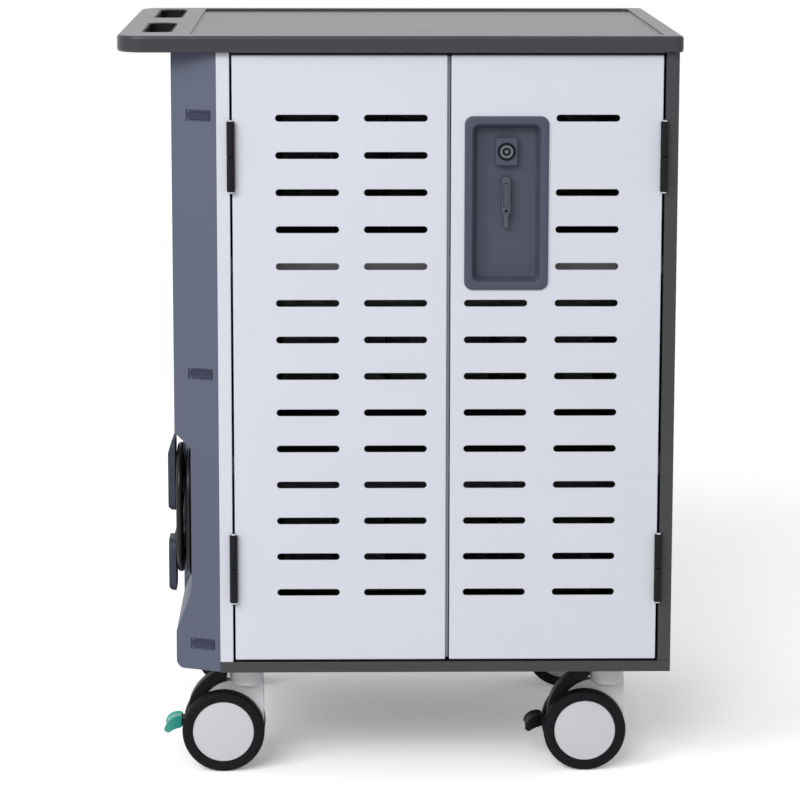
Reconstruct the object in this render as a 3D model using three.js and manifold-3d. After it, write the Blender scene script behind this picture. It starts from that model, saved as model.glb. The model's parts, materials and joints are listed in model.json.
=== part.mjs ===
// Charging cart for laptops: a steel cabinet on four twin-wheel casters, with a moulded worksurface,
// slotted doors, three tiers of device slots, a rear power bay and a cord wound on the side housing.
// Millimetres, +Z up, front at -Y, origin on the floor under the middle of the worksurface.
import * as THREE from "three";
import { mergeVertices } from "three/addons/utils/BufferGeometryUtils.js";
import Module from "manifold-3d";

// Overall sizes
const OVERALL_W = 816;
const OVERALL_D = 670;
const OVERALL_H = 1110;
const SEAT = 0.3; // gap between pieces that are fixed to each other
const RUN = 0.5; // gap between pieces that turn or slide on each other
const SHEET = 2; // steel sheet

// Worksurface
const SLAB_T = 24;
const SLAB_EASE = 4;
const SLAB_R_HANDLE = 40;
const SLAB_R_RIGHT = 12;
const SLAB_RIM = 25;
const SLAB_RECESS = 4;
const HANDLE_OVERHANG = 143; // from the slab's left end to the cabinet's left wall
const RIGHT_INSET = 5;
const FACE_INSET = 13; // from the slab's front edge to the doors
const GRIP_INSET = 32;
const GRIP_W = 43;
const GRIP_L = 210;
const GRIP_MIDDLES = [-145, 185];

// Cabinet
const CASTER_H = 167;
const BASE_H = 16;
const POST_W = 19;
const POST_LIP = 16;
const ROOF_GAP = 1;
const ROOF_LIP = 18;

// Doors
const DOOR_T = 20;
const DOOR_GAP = 3.5;
const DOOR_HEADROOM = 4;
const MEETING_SHARE = 0.5035; // of the front opening's width, up to where the doors meet
const MEETING_GAP = 5.6;
const SLOT_SHARE = 0.296; // a slot's length, of the left door's width
const SLOT_H = 10;
const SLOT_PITCH = 54;
const SLOT_TOP = 91; // from a door's top edge to the middle of its first row
const SLOT_BOTTOM = 85; // least distance from a door's bottom edge to a row
const LEFT_COLUMNS = [0.349, 0.761]; // shares of each door's width, from its left edge
const RIGHT_COLUMNS = [0.215, 0.646];
const REAR_COLUMNS = [0.237, 0.5, 0.763];
const BARE_ROW = 1; // the second row of the outer right column has no slot

// Hinges
const HINGE_R = 6;
const HINGE_L = 102;
const HINGE_LEAF = 1.6;
const HINGE_REACH = 24;
const PIN_R = 3;
const PIN_L = 36;
const HINGE_FROM_TOP = 146;
const HINGE_FROM_BOTTOM = 140;

// Lock pan of the right door
const PAN_SHARE = 0.398; // the pan's width, of the right door's
const PAN_EDGE_SHARE = 0.0636; // from the door's meeting edge to the pan
const PAN_H = 253;
const PAN_TOP = 88; // from the door's top edge
const PAN_RIM = 13;
const PAN_LIP = 9; // flat of the rim, up to the dish's mouth
const PAN_R = 11;
const PAN_MOUTH_R = 8;
const PAN_PROUD = 4;
const PAN_WALL = 2.5;
const PAN_SLOPE = 7;
const BOSS_W = 32;
const BOSS_H = 40;
const BOSS_T = 12;
const LOCK_DROP = 52; // from the pan's top edge
const LOCK_R = 12.5;
const LOCK_PROUD = 3;
const LOCK_TAB = 30;
const LOCK_TAB_W = 15;
const LOCK_HEAD = 3; // how much wider the rear cylinder's head is than its barrel
const KEYWAY_W = 3;
const KEYWAY_H = 12;
const KEYWAY_DEPTH = 3;
const REAR_LOCK_INSET = 24;
const LATCH_DROP = 126;
const HANDLE_UP = 37;
const HANDLE_DOWN = 37;
const HANDLE_W = 13;
const HANDLE_WAIST = 9;
const HANDLE_T = 11;
const HANDLE_CHAMFER = 3;
const HANDLE_GAP = 2; // from the lever to the pan's floor
const EYE_R = 2.6; // padlock eye
const SPINDLE_R = 5;
const CAM_L = 106;
const CAM_W = 20;
const CAM_HUB_R = 12;
const CAM_T = 4;
const CAM_BITE = 26; // how far the cam's tip reaches behind the strike
const CAM_GAP = 1.5; // from the strike to the cam behind it
const STRIKE_W = 44;
const STRIKE_GAP = 1.2; // from the lock pan to the strike
const STRIKE_DROP = 3; // from the cam's tip down to the strike's foot

// Device bays and power bay
const TIERS = 3;
const SHELF_FRONT = 50; // from the doors' face to the shelf lip
const SHELF_LIP = 26;
const BAY_DEPTH = 390;
const SLOTS = 8;
const FIN_T = 3;
const FIN_H = 170;
const FIN_INSET = 10;
const CABLE_HOLE_W = 400;
const CABLE_HOLE_H = 34;
const CABLE_HOLE_DROP = 7; // from the shelf's lip, or the roof's, to the opening
const STRIP_L = 470;
const STRIP_H = 46;
const STRIP_T = 38;
const STRIP_RISE = 95; // from a tier's floor to its strip
const OUTLET_W = 30;
const OUTLET_H = 24;
const OUTLET_PROUD = 2;
const TIMER_W = 110;
const TIMER_H = 160;
const TIMER_T = 62;
const TIMER_RISE = 17; // from the middle strip's top to the timer
const ROCKER_W = 21;
const ROCKER_H = 30;
const ROCKER_T = 5;
const ROCKER_RISE = 112; // from the timer's bottom to the rocker
const ROCKER_HORN = 3;
const ROCKER_DIP = 1;
const ROCKER_SINK = 2; // from the timer's face down to the rocker's pivot
const ROCKER_TILT = 8; // degrees that the rocker leans at rest

// Side housing and cord wrap
const HOUSING_W = 66;
const HOUSING_SLANT = 27;
const HOUSING_INSET = 2; // from the cabinet's front and rear to the housing
const HOUSING_RISE = 1; // from the base pan's lower edge to the housing
const HOUSING_WALL = 4;
const HOUSING_R = 12;
const RECESS_W = 40;
const RECESS_H = 17;
const RECESS_T = 2.5;
const RECESS_INSET = 26; // from the cabinet's wall to each recess's middle
const RECESS_FALLS = [92, 471, 878]; // from the housing's top to each clip recess
const ALCOVE_DEPTH = 24;
const ALCOVE_SPARE = 20; // from the gland to the alcove's rear end
const ALCOVE_TOP = 336; // from the housing's bottom to the alcove's flat wall
const ALCOVE_BOTTOM = 121;
const ALCOVE_CEILING = 20;
const ALCOVE_SLOPE = 66;
const CORD_D = 10;
const CORD_LEAST_R = 36;
const CORD_PITCH = 10.8;
const CORD_TURNS = 2.75; // turns in, and again as many out
const CORD_LAYER = 14;
const CORD_STEPS = 24;
const CORD_SIDES = 6;
const CORD_LEAD = 26; // from the loops' rear to the gland
const CORD_TAIL_OUT = 15;
const WRAP_Y = 122; // from the doors' face to the middle of the wrap
const WRAP_RUN = 60; // between the two hooks' round centres
const HOOK_CLEAR = 0.5;
const HOOK_W = 62;
const HOOK_T = 10.5;
const HOOK_STEM = 31;
const UPPER_PLATE_UP = 82;
const UPPER_PLATE_DOWN = 28;
const LOWER_PLATE_UP = -12; // its top lies below the hook's round centre
const LOWER_PLATE_DOWN = 92;
const HOOK_ROOM = 2.5; // between the outer loops and the plates
const HOOK_LEAN = 7;
const GLAND_NOSE = 24;
const GLAND_BODY = 30;
const GLAND_SIDES = 8;
const PLUG_W = 26;
const PLUG_T = 22;
const PLUG_BODY = 38;
const PLUG_NECK = 24;
const PLUG_SHOULDER = 11;
const PLUG_BEVEL = 0.4; // share of the plug's half width that its bevels take
const NECK_TIP_R = 5.6; // strain relief, where the cord comes out
const NECK_ROOT_R = 7.6;
const BLADE_L = 17;
const BLADE_W = 4.4;
const BLADE_T = 1.6;
const BLADE_SPREAD = 6; // from the plug's middle to each flat pin
const BLADE_BACK = 4.5;

// Casters
const CASTER_X_LEFT = 103; // from the housing's outer face to the left swivels
const CASTER_X_RIGHT = 87; // from the right wall to the right swivels
const CASTER_Y = 85; // from the doors' face to the front swivels
const WHEEL_D = 125;
const WHEEL_W = 24;
const WHEEL_SIDES = 24;
const TYRE_SHOULDER = 5;
const DISC_D = 93;
const DISC_DEPTH = 2;
const TRAIL = 35;
const WEB_T = 18;
const ARM_T = 4;
const COWL_X = 16.5; // from the axle to the middle of the hood and of the brake lever's band
const COWL_Z = 20; // from the axle up to that middle
const HOOD_R = 53;
const NECK_R = 25.5;
const NECK_RISE = 5; // from the tyres' top to the neck's underside
const AXLE_R = 7;
const STEM_R = 11;
const STEM_L = 34;
const PLATE_W = 64;
const PLATE_T = 4;
const PEDAL_GAP = 2; // between the hood and the lever's band
const PEDAL_BAND = 16.5;
const PEDAL_W = 26;
const BAND_ANGLES = [98, 205]; // degrees round the cowl's middle, up from +X
const BAND_TAPER_ANGLE = 114; // where the band's inside turns out to its tip
const ARM_ANGLES = [135, 160]; // degrees round the axle
const ARM_ROOT_ANGLES = [200, 90];
const ARM_R = 54;
const LEVER_EYE_R = 15.5;
const EYE_ROOT_R = 12.6;
const STALK_Z = [3, 15]; // from the axle, of the stalk that holds the tread
const STALK_LAP = 8; // from the band's outside into the band
const TREAD_W = 46; // at the tip; its root is as wide as the band
const TREAD_ROOT_X = 64.5; // from the axle to the tread's root
const TREAD_ROOT_Z = [2, 17.5];
const TREAD_TIP_X = 88.5;
const TREAD_TIP_T = 5;
const TREAD_DROOP = 4; // from the axle down to the tread's tip

// Places that follow from the sizes above
const FRONT = -OVERALL_D / 2 + FACE_INSET;
const BACK = -FRONT;
const LEFT = -OVERALL_W / 2 + HANDLE_OVERHANG;
const RIGHT = OVERALL_W / 2 - RIGHT_INSET;
const FLOOR_Z = CASTER_H + BASE_H; // upper side of the base pan
const SLAB_Z = OVERALL_H - SLAB_T;
const WALL_TOP = SLAB_Z - SEAT;
const ROOF_Z = SLAB_Z - ROOF_GAP - SHEET;
const DOOR_Z0 = FLOOR_Z + DOOR_GAP;
const DOOR_Z1 = SLAB_Z - DOOR_HEADROOM;
const REAR_DOOR = [LEFT + POST_W + DOOR_GAP, RIGHT - POST_W - DOOR_GAP];
const along = ([from, to], share) => from + share * (to - from);
const MEETING_X = along(REAR_DOOR, MEETING_SHARE);
const LEFT_DOOR = [REAR_DOOR[0], MEETING_X - MEETING_GAP / 2];
const RIGHT_DOOR = [MEETING_X + MEETING_GAP / 2, REAR_DOOR[1]];
const SLOT_L = SLOT_SHARE * (LEFT_DOOR[1] - LEFT_DOOR[0]);
const INSIDE = [LEFT + SHEET + SEAT, RIGHT - SHEET - SEAT];
const TIER_H = (ROOF_Z - FLOOR_Z) / TIERS;
const SHELF_Y0 = FRONT + SHELF_FRONT;
const WALL_Y = SHELF_Y0 + BAY_DEPTH + SEAT; // front side of the power bay wall
const PAN_X = along(RIGHT_DOOR, PAN_EDGE_SHARE);
const PAN_W = PAN_SHARE * (RIGHT_DOOR[1] - RIGHT_DOOR[0]);
const PAN_Z = DOOR_Z1 - PAN_TOP;
const PAN_BACK = FRONT + DOOR_T + SEAT;
const LATCH_X = PAN_X + PAN_W / 2;
const LATCH_Z = PAN_Z - LATCH_DROP;
const STRIKE_Y = PAN_BACK + STRIKE_GAP;
const CAM_Y = STRIKE_Y + SHEET + CAM_GAP;
const HOUSING_X = LEFT - SEAT - HOUSING_W;
const HOUSING_Z = CASTER_H + HOUSING_RISE;
const ALCOVE_X = HOUSING_X + ALCOVE_DEPTH;
const ALCOVE_Z0 = HOUSING_Z + ALCOVE_BOTTOM;
const ALCOVE_Z1 = HOUSING_Z + ALCOVE_TOP;
const WRAP_MID_Y = FRONT + WRAP_Y;
const CORD_MOST_R = CORD_LEAST_R + CORD_PITCH * CORD_TURNS;
const WRAP_LOW_Z = ALCOVE_Z0 + CORD_MOST_R + CORD_D / 2 + SEAT;
const WRAP_HIGH_Z = WRAP_LOW_Z + WRAP_RUN;
const CORD_X1 = ALCOVE_X - SEAT - CORD_D / 2; // inner layer
const CORD_X2 = CORD_X1 - CORD_LAYER; // outer layer
const GLAND_END = WRAP_MID_Y + CORD_MOST_R + CORD_LEAD + SEAT + GLAND_NOSE + GLAND_BODY;
const WHEEL_R = WHEEL_D / 2;
const AXLE_Z = WHEEL_R * Math.cos(Math.PI / WHEEL_SIDES); // a flat of the faceted tyre is on the floor

// Finishes
const paint = (color, roughness, metalness) =>
  new THREE.MeshStandardMaterial({ color, roughness, metalness });
const WHITE_STEEL = paint(0xd9dbe4, 0.45, 0.1);
const DARK_STEEL = paint(0x48494e, 0.5, 0.2);
const GREY_MOULDING = paint(0x8d8d90, 0.6, 0);
const HOUSING_PLASTIC = paint(0x646879, 0.55, 0);
const BLACK_METAL = paint(0x17191c, 0.45, 0.4);
const BRIGHT_METAL = paint(0xc4c6ca, 0.25, 1);
const PAN_PLASTIC = paint(0x545766, 0.5, 0);
const BLACK_PLASTIC = paint(0x1b1b1e, 0.55, 0);
const TYRE_RUBBER = paint(0x1a1a1e, 0.8, 0);
const HOOD_PLASTIC = paint(0xbebec1, 0.5, 0);
const TEAL_PLASTIC = paint(0x34a091, 0.5, 0);

const wasm = await Module();
wasm.setup();

// Joining and cutting

function solid(geometry) {
  const bare = geometry.clone();
  bare.deleteAttribute("normal");
  bare.deleteAttribute("uv");
  const merged = mergeVertices(bare, 1e-4);
  return new wasm.Manifold(
    new wasm.Mesh({
      numProp: 3,
      vertProperties: new Float32Array(merged.attributes.position.array),
      triVerts: new Uint32Array(merged.index.array),
    }),
  );
}

function geometryOf(manifold) {
  const mesh = manifold.getMesh();
  const geometry = new THREE.BufferGeometry();
  geometry.setAttribute("position", new THREE.BufferAttribute(mesh.vertProperties, 3));
  geometry.setIndex(new THREE.BufferAttribute(mesh.triVerts, 1));
  geometry.computeVertexNormals();
  return geometry;
}

const join = (...pieces) =>
  geometryOf(pieces.map(solid).reduce((whole, piece) => whole.add(piece)));

const cut = (piece, ...tools) =>
  geometryOf(tools.map(solid).reduce((rest, tool) => rest.subtract(tool), solid(piece)));

const common = (a, b) => geometryOf(solid(a).intersect(solid(b)));

// Plain shapes, placed by their limits

function block([x0, x1], [y0, y1], [z0, z1]) {
  const box = new THREE.BoxGeometry(x1 - x0, y1 - y0, z1 - z0);
  return box.translate((x0 + x1) / 2, (y0 + y1) / 2, (z0 + z1) / 2);
}

const outline = (points) => new THREE.Shape(points.map(([x, y]) => new THREE.Vector2(x, y)));

const extrude = (shape, depth, curveSegments) =>
  new THREE.ExtrudeGeometry(shape, { depth, bevelEnabled: false, curveSegments });

const alongZ = (shape, z0, z1, curveSegments = 6) =>
  extrude(shape, z1 - z0, curveSegments).translate(0, 0, z0);

// The shape's x and y become X and Z.
const alongY = (shape, y0, y1, curveSegments = 6) =>
  extrude(shape, y1 - y0, curveSegments).rotateX(Math.PI / 2).translate(0, y1, 0);

// The shape's x and y become Y and Z.
const alongX = (shape, x0, x1, curveSegments = 6) =>
  extrude(shape, x1 - x0, curveSegments)
    .rotateX(Math.PI / 2)
    .rotateZ(Math.PI / 2)
    .translate(x0, 0, 0);

// A round bar along Y, with a flat at its bottom.
function barY(radius, y0, y1, x, z, sides = 16) {
  const bar = new THREE.CylinderGeometry(radius, radius, y1 - y0, sides, 1, false, Math.PI / sides);
  return bar.translate(x, (y0 + y1) / 2, z);
}

function barZ(radius, z0, z1, x, y, sides = 16) {
  const bar = new THREE.CylinderGeometry(radius, radius, z1 - z0, sides).rotateX(Math.PI / 2);
  return bar.translate(x, y, (z0 + z1) / 2);
}

// A closed path of straight sides and four corner arcs; radii start at the lower left and go round.
function roundedPath(path, [x0, x1], [y0, y1], radii) {
  const [a, b, c, d] = Array.isArray(radii) ? radii : [radii, radii, radii, radii];
  path.moveTo(x0 + a, y0);
  path.lineTo(x1 - b, y0);
  path.absarc(x1 - b, y0 + b, b, -Math.PI / 2, 0, false);
  path.lineTo(x1, y1 - c);
  path.absarc(x1 - c, y1 - c, c, 0, Math.PI / 2, false);
  path.lineTo(x0 + d, y1);
  path.absarc(x0 + d, y1 - d, d, Math.PI / 2, Math.PI, false);
  path.lineTo(x0, y0 + a);
  path.absarc(x0 + a, y0 + a, a, Math.PI, 1.5 * Math.PI, false);
  return path;
}

const roundedShape = (xs, ys, radii) => roundedPath(new THREE.Shape(), xs, ys, radii);
const roundedHole = (xs, ys, radii) => roundedPath(new THREE.Path(), xs, ys, radii);

// A closed solid through rings of points that have the same count, each ring convex.
function loft(rings) {
  const count = rings[0].length;
  const positions = rings.flat().flatMap((p) => [p.x, p.y, p.z]);
  const faces = [];
  for (let ring = 0; ring + 1 < rings.length; ring++) {
    for (let i = 0; i < count; i++) {
      const a = ring * count + i;
      const b = ring * count + ((i + 1) % count);
      faces.push(a, b, b + count, a, b + count, a + count);
    }
  }
  const last = (rings.length - 1) * count;
  for (let i = 1; i + 1 < count; i++) {
    faces.push(0, i + 1, i, last, last + i, last + i + 1);
  }
  const geometry = new THREE.BufferGeometry();
  geometry.setAttribute("position", new THREE.Float32BufferAttribute(positions, 3));
  geometry.setIndex(faces);
  geometry.computeVertexNormals();
  return geometry;
}

// A rounded rectangle in the XZ plane at a given y, as a ring of points for a loft towards +Y.
function panRing([x0, x1], [z0, z1], radius, y) {
  const points = roundedShape([x0, x1], [z0, z1], radius).getPoints(2);
  const ring = points.filter((p, i) => i === 0 || p.distanceTo(points[i - 1]) > 1e-6);
  if (ring[0].distanceTo(ring[ring.length - 1]) < 1e-6) {
    ring.pop();
  }
  return ring.map((p) => new THREE.Vector3(p.x, y, p.y)).reverse();
}

// The scene graph

const cart = new THREE.Group();

function add(name, geometry, material, parent = cart) {
  const mesh = new THREE.Mesh(geometry, material);
  mesh.name = name;
  parent.add(mesh);
  return mesh;
}

// Worksurface: one moulding with an eased edge, a shallow recess and two hand slots in its overhang
function worksurface() {
  const half = OVERALL_W / 2;
  const radii = [SLAB_R_HANDLE, SLAB_R_RIGHT, SLAB_R_RIGHT, SLAB_R_HANDLE];
  const shape = roundedShape([-half, half], [-OVERALL_D / 2, OVERALL_D / 2], radii);
  const grip = [-half + GRIP_INSET, -half + GRIP_INSET + GRIP_W];
  for (const middle of GRIP_MIDDLES) {
    shape.holes.push(roundedHole(grip, [middle - GRIP_L / 2, middle + GRIP_L / 2], GRIP_W / 3));
  }
  const slab = new THREE.ExtrudeGeometry(shape, {
    depth: SLAB_T - 2 * SLAB_EASE,
    bevelThickness: SLAB_EASE,
    bevelSize: SLAB_EASE,
    bevelOffset: -SLAB_EASE,
    bevelSegments: 2,
    curveSegments: 3,
  });
  slab.translate(0, 0, SLAB_Z + SLAB_EASE);
  const recessX = [-half + GRIP_INSET + GRIP_W + SLAB_RIM + SLAB_RECESS, half - SLAB_RIM];
  const recessY = [-OVERALL_D / 2 + SLAB_RIM, OVERALL_D / 2 - SLAB_RIM];
  const recess = roundedShape(recessX, recessY, SLAB_R_RIGHT);
  return cut(slab, alongZ(recess, OVERALL_H - SLAB_RECESS, OVERALL_H + SLAB_T));
}
add("worksurface", worksurface(), GREY_MOULDING);

// Base pan: folded steel tray, open below, with the casters under its floor
function basePan() {
  const outer = block([LEFT, RIGHT], [FRONT, BACK], [CASTER_H, FLOOR_Z]);
  const inner = block(
    [LEFT + SHEET, RIGHT - SHEET],
    [FRONT + SHEET, BACK - SHEET],
    [CASTER_H - BASE_H, FLOOR_Z - SHEET],
  );
  return cut(outer, inner);
}
add("base_pan", basePan(), DARK_STEEL);

// Side walls: sheet folded into a post with a lip at the front and at the rear
function sideWall(x, inward) {
  const post = x + inward * POST_W;
  const lip = post - inward * SHEET;
  const skin = x + inward * SHEET;
  const half = [
    [x, FRONT],
    [post, FRONT],
    [post, FRONT + POST_LIP],
    [lip, FRONT + POST_LIP],
    [lip, FRONT + SHEET],
    [skin, FRONT + SHEET],
  ];
  const rear = half.map(([px, py]) => [px, -py]).reverse();
  return alongZ(outline([...half, ...rear]), FLOOR_Z + SEAT, WALL_TOP);
}
add("left_side_wall", sideWall(LEFT, 1), WHITE_STEEL);
add("right_side_wall", sideWall(RIGHT, -1), DARK_STEEL);

// Roof panel: closes the cabinet under the worksurface, with a lip that the doors close against
function roofPanel() {
  const lipY = FRONT + DOOR_T + RUN;
  const plate = block(INSIDE, [lipY, -lipY], [ROOF_Z, ROOF_Z + SHEET]);
  const between = [LEFT + POST_W + RUN, RIGHT - POST_W - RUN];
  const lipZ = [ROOF_Z - ROOF_LIP, ROOF_Z + SHEET];
  const frontLip = block(between, [lipY, lipY + SHEET], lipZ);
  const rearLip = block(between, [-lipY - SHEET, -lipY], lipZ);
  return join(plate, frontLip, rearLip);
}
add("roof_panel", roofPanel(), DARK_STEEL);

// Shelves: the two upper tiers' floors, with a front lip; the upper one carries the latch's strike
function shelf(z) {
  const floor = block(INSIDE, [SHELF_Y0, SHELF_Y0 + BAY_DEPTH], [z - SHEET, z]);
  const lip = block(INSIDE, [SHELF_Y0, SHELF_Y0 + SHEET], [z - SHELF_LIP, z]);
  return join(floor, lip);
}
function strike() {
  const xs = [LATCH_X - STRIKE_W / 2, LATCH_X + STRIKE_W / 2];
  const camTip = LATCH_Z - CAM_L;
  const footZ = [camTip - STRIKE_DROP - SHEET, camTip - STRIKE_DROP];
  const foot = block(xs, [STRIKE_Y, SHELF_Y0 + SHEET], footZ);
  const tongue = block(xs, [STRIKE_Y, STRIKE_Y + SHEET], [footZ[0], camTip + CAM_BITE]);
  const lipZ = tierFloor(TIERS - 1) - SHELF_LIP;
  const tabZ = [Math.min(lipZ, footZ[0]), Math.max(lipZ, camTip) + SHEET];
  const tab = block(xs, [SHELF_Y0, SHELF_Y0 + SHEET], tabZ);
  return join(foot, tongue, tab);
}
const tierFloor = (tier) => FLOOR_Z + tier * TIER_H;
add("middle_shelf", shelf(tierFloor(1)), WHITE_STEEL);
add("upper_shelf", join(shelf(tierFloor(2)), strike()), WHITE_STEEL);

// Power bay wall: a sheet behind the tiers, with one long opening to a tier for the charging leads
function powerBayWall() {
  const shape = roundedShape(INSIDE, [FLOOR_Z + SEAT, ROOF_Z - SEAT], SHEET / 2);
  const middle = (INSIDE[0] + INSIDE[1]) / 2;
  const xs = [middle - CABLE_HOLE_W / 2, middle + CABLE_HOLE_W / 2];
  for (let tier = 1; tier <= TIERS; tier++) {
    const top = tierFloor(tier) - SHELF_LIP - CABLE_HOLE_DROP;
    shape.holes.push(roundedHole(xs, [top - CABLE_HOLE_H, top], CABLE_HOLE_H / 3));
  }
  return alongY(shape, WALL_Y, WALL_Y + SHEET, 1);
}
add("power_bay_wall", powerBayWall(), WHITE_STEEL);

// Slot racks: one moulded comb to a tier, each gap between fins takes one laptop on edge
function slotRack(floor) {
  const [x0, x1] = [INSIDE[0] + RUN, INSIDE[1] - RUN];
  const z = floor + SEAT;
  const pitch = (x1 - x0) / SLOTS;
  const points = [[x0, z], [x1, z], [x1, z + FIN_T]];
  for (let fin = SLOTS - 1; fin > 0; fin--) {
    const x = x0 + fin * pitch;
    points.push([x + FIN_T / 2, z + FIN_T]);
    points.push([x + FIN_T / 2, z + FIN_H]);
    points.push([x - FIN_T / 2, z + FIN_H]);
    points.push([x - FIN_T / 2, z + FIN_T]);
  }
  points.push([x0, z + FIN_T]);
  return alongY(outline(points), SHELF_Y0 + SHEET + FIN_INSET, SHELF_Y0 + BAY_DEPTH - FIN_INSET);
}
["bottom", "middle", "upper"].forEach((tier, i) => {
  add(`${tier}_slot_rack`, slotRack(tierFloor(i)), BLACK_PLASTIC);
});

// Outlet strips: one to a tier on the rear of the power bay wall, an outlet for each slot
function outletStrip(floor) {
  const x = (INSIDE[0] + INSIDE[1]) / 2;
  const y0 = WALL_Y + SHEET + SEAT;
  const z = floor + STRIP_RISE;
  const body = block([x - STRIP_L / 2, x + STRIP_L / 2], [y0, y0 + STRIP_T], [z, z + STRIP_H]);
  const pitch = STRIP_L / SLOTS;
  const outlets = Array.from({ length: SLOTS }, (_, i) => {
    const middle = x - STRIP_L / 2 + (i + 0.5) * pitch;
    return block(
      [middle - OUTLET_W / 2, middle + OUTLET_W / 2],
      [y0 + STRIP_T / 2, y0 + STRIP_T + OUTLET_PROUD],
      [z + (STRIP_H - OUTLET_H) / 2, z + (STRIP_H + OUTLET_H) / 2],
    );
  });
  return join(body, ...outlets);
}
["bottom", "middle", "upper"].forEach((tier, i) => {
  add(`${tier}_outlet_strip`, outletStrip(tierFloor(i)), BLACK_PLASTIC);
});

// Charge timer: a box beside the strips that switches them in turn, with a rocker in its rear face
function chargeTimer() {
  const x0 = INSIDE[0] + POST_W;
  const y0 = WALL_Y + SHEET + SEAT;
  const z0 = tierFloor(1) + STRIP_RISE + STRIP_H + TIMER_RISE;
  const body = block([x0, x0 + TIMER_W], [y0, y0 + TIMER_T], [z0, z0 + TIMER_H]);
  const seatX = x0 + TIMER_W / 2;
  const seatZ = z0 + ROCKER_RISE;
  const pocket = block(
    [seatX - ROCKER_W / 2 - RUN, seatX + ROCKER_W / 2 + RUN],
    [y0 + TIMER_T - 2 * ROCKER_T, y0 + TIMER_T + ROCKER_T],
    [seatZ - ROCKER_H / 2 - RUN, seatZ + ROCKER_H / 2 + RUN],
  );
  add("charge_timer", cut(body, pocket), HOUSING_PLASTIC);
  const profile = outline([
    [-ROCKER_H / 2 + RUN, -ROCKER_T],
    [ROCKER_H / 2 - RUN, -ROCKER_T],
    [ROCKER_H / 2, ROCKER_HORN],
    [0, ROCKER_DIP],
    [-ROCKER_H / 2, ROCKER_HORN],
  ]);
  const shape = extrude(profile, ROCKER_W).translate(0, 0, -ROCKER_W / 2);
  const rocker = add("timer_rocker", shape, BLACK_PLASTIC);
  const upright = new THREE.Matrix4().makeBasis(
    new THREE.Vector3(0, 0, 1),
    new THREE.Vector3(0, 1, 0),
    new THREE.Vector3(-1, 0, 0),
  );
  rocker.geometry.applyMatrix4(upright);
  rocker.position.set(seatX, y0 + TIMER_T - ROCKER_SINK, seatZ);
  rocker.rotation.x = THREE.MathUtils.degToRad(ROCKER_TILT);
}
chargeTimer();

// Doors: folded sheet pans with rows of round-ended slots

function slotRows() {
  const room = DOOR_Z1 - DOOR_Z0 - SLOT_TOP - SLOT_BOTTOM;
  const count = Math.floor(room / SLOT_PITCH) + 1;
  return Array.from({ length: count }, (_, row) => DOOR_Z1 - SLOT_TOP - row * SLOT_PITCH);
}

const slotHole = (x, z) =>
  roundedHole([x - SLOT_L / 2, x + SLOT_L / 2], [z - SLOT_H / 2, z + SLOT_H / 2], SLOT_H / 2);

// The door's face is at y, and its folded edges run behind it towards the inside.
function doorPan([x0, x1], face, inward, holes) {
  const fold = SHEET / 2;
  const sheet = roundedShape([x0, x1], [DOOR_Z0, DOOR_Z1], fold);
  sheet.holes.push(...holes);
  const edge = roundedShape([x0, x1], [DOOR_Z0, DOOR_Z1], fold);
  edge.holes.push(roundedHole([x0 + SHEET, x1 - SHEET], [DOOR_Z0 + SHEET, DOOR_Z1 - SHEET], fold));
  const depth = (reach) => [face, face + inward * reach].sort((a, b) => a - b);
  return join(alongY(sheet, ...depth(SHEET), 1), alongY(edge, ...depth(DOOR_T), 1));
}

const slotsIn = (door, shares, rows) =>
  shares.flatMap((share) => rows.map((z) => slotHole(along(door, share), z)));

const leftSlots = slotsIn(LEFT_DOOR, LEFT_COLUMNS, slotRows());
add("left_door", doorPan(LEFT_DOOR, FRONT, 1, leftSlots), WHITE_STEEL);

// The inner column of the right door starts below the lock pan, and the outer one skips its bare row.
const PAN_XS = [PAN_X, PAN_X + PAN_W];
const PAN_ZS = [PAN_Z - PAN_H, PAN_Z];
const innerRows = slotRows().filter((z) => z + SLOT_H < PAN_ZS[0]);
const outerRows = slotRows().filter((_, row) => row !== BARE_ROW);
const tubXs = [PAN_XS[0] + PAN_RIM / 2, PAN_XS[1] - PAN_RIM / 2];
const tubZs = [PAN_ZS[0] + PAN_RIM / 2, PAN_ZS[1] - PAN_RIM / 2];
const wider = ([a, b], by) => [a - by, b + by];
const rightHoles = [
  ...slotsIn(RIGHT_DOOR, [RIGHT_COLUMNS[0]], innerRows),
  ...slotsIn(RIGHT_DOOR, [RIGHT_COLUMNS[1]], outerRows),
];
const panWindow = loft(
  [FRONT - DOOR_T, FRONT + DOOR_T].map((y) => panRing(wider(tubXs, SEAT), wider(tubZs, SEAT), PAN_R, y)),
);
add("right_door", cut(doorPan(RIGHT_DOOR, FRONT, 1, rightHoles), panWindow), WHITE_STEEL);

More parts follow.
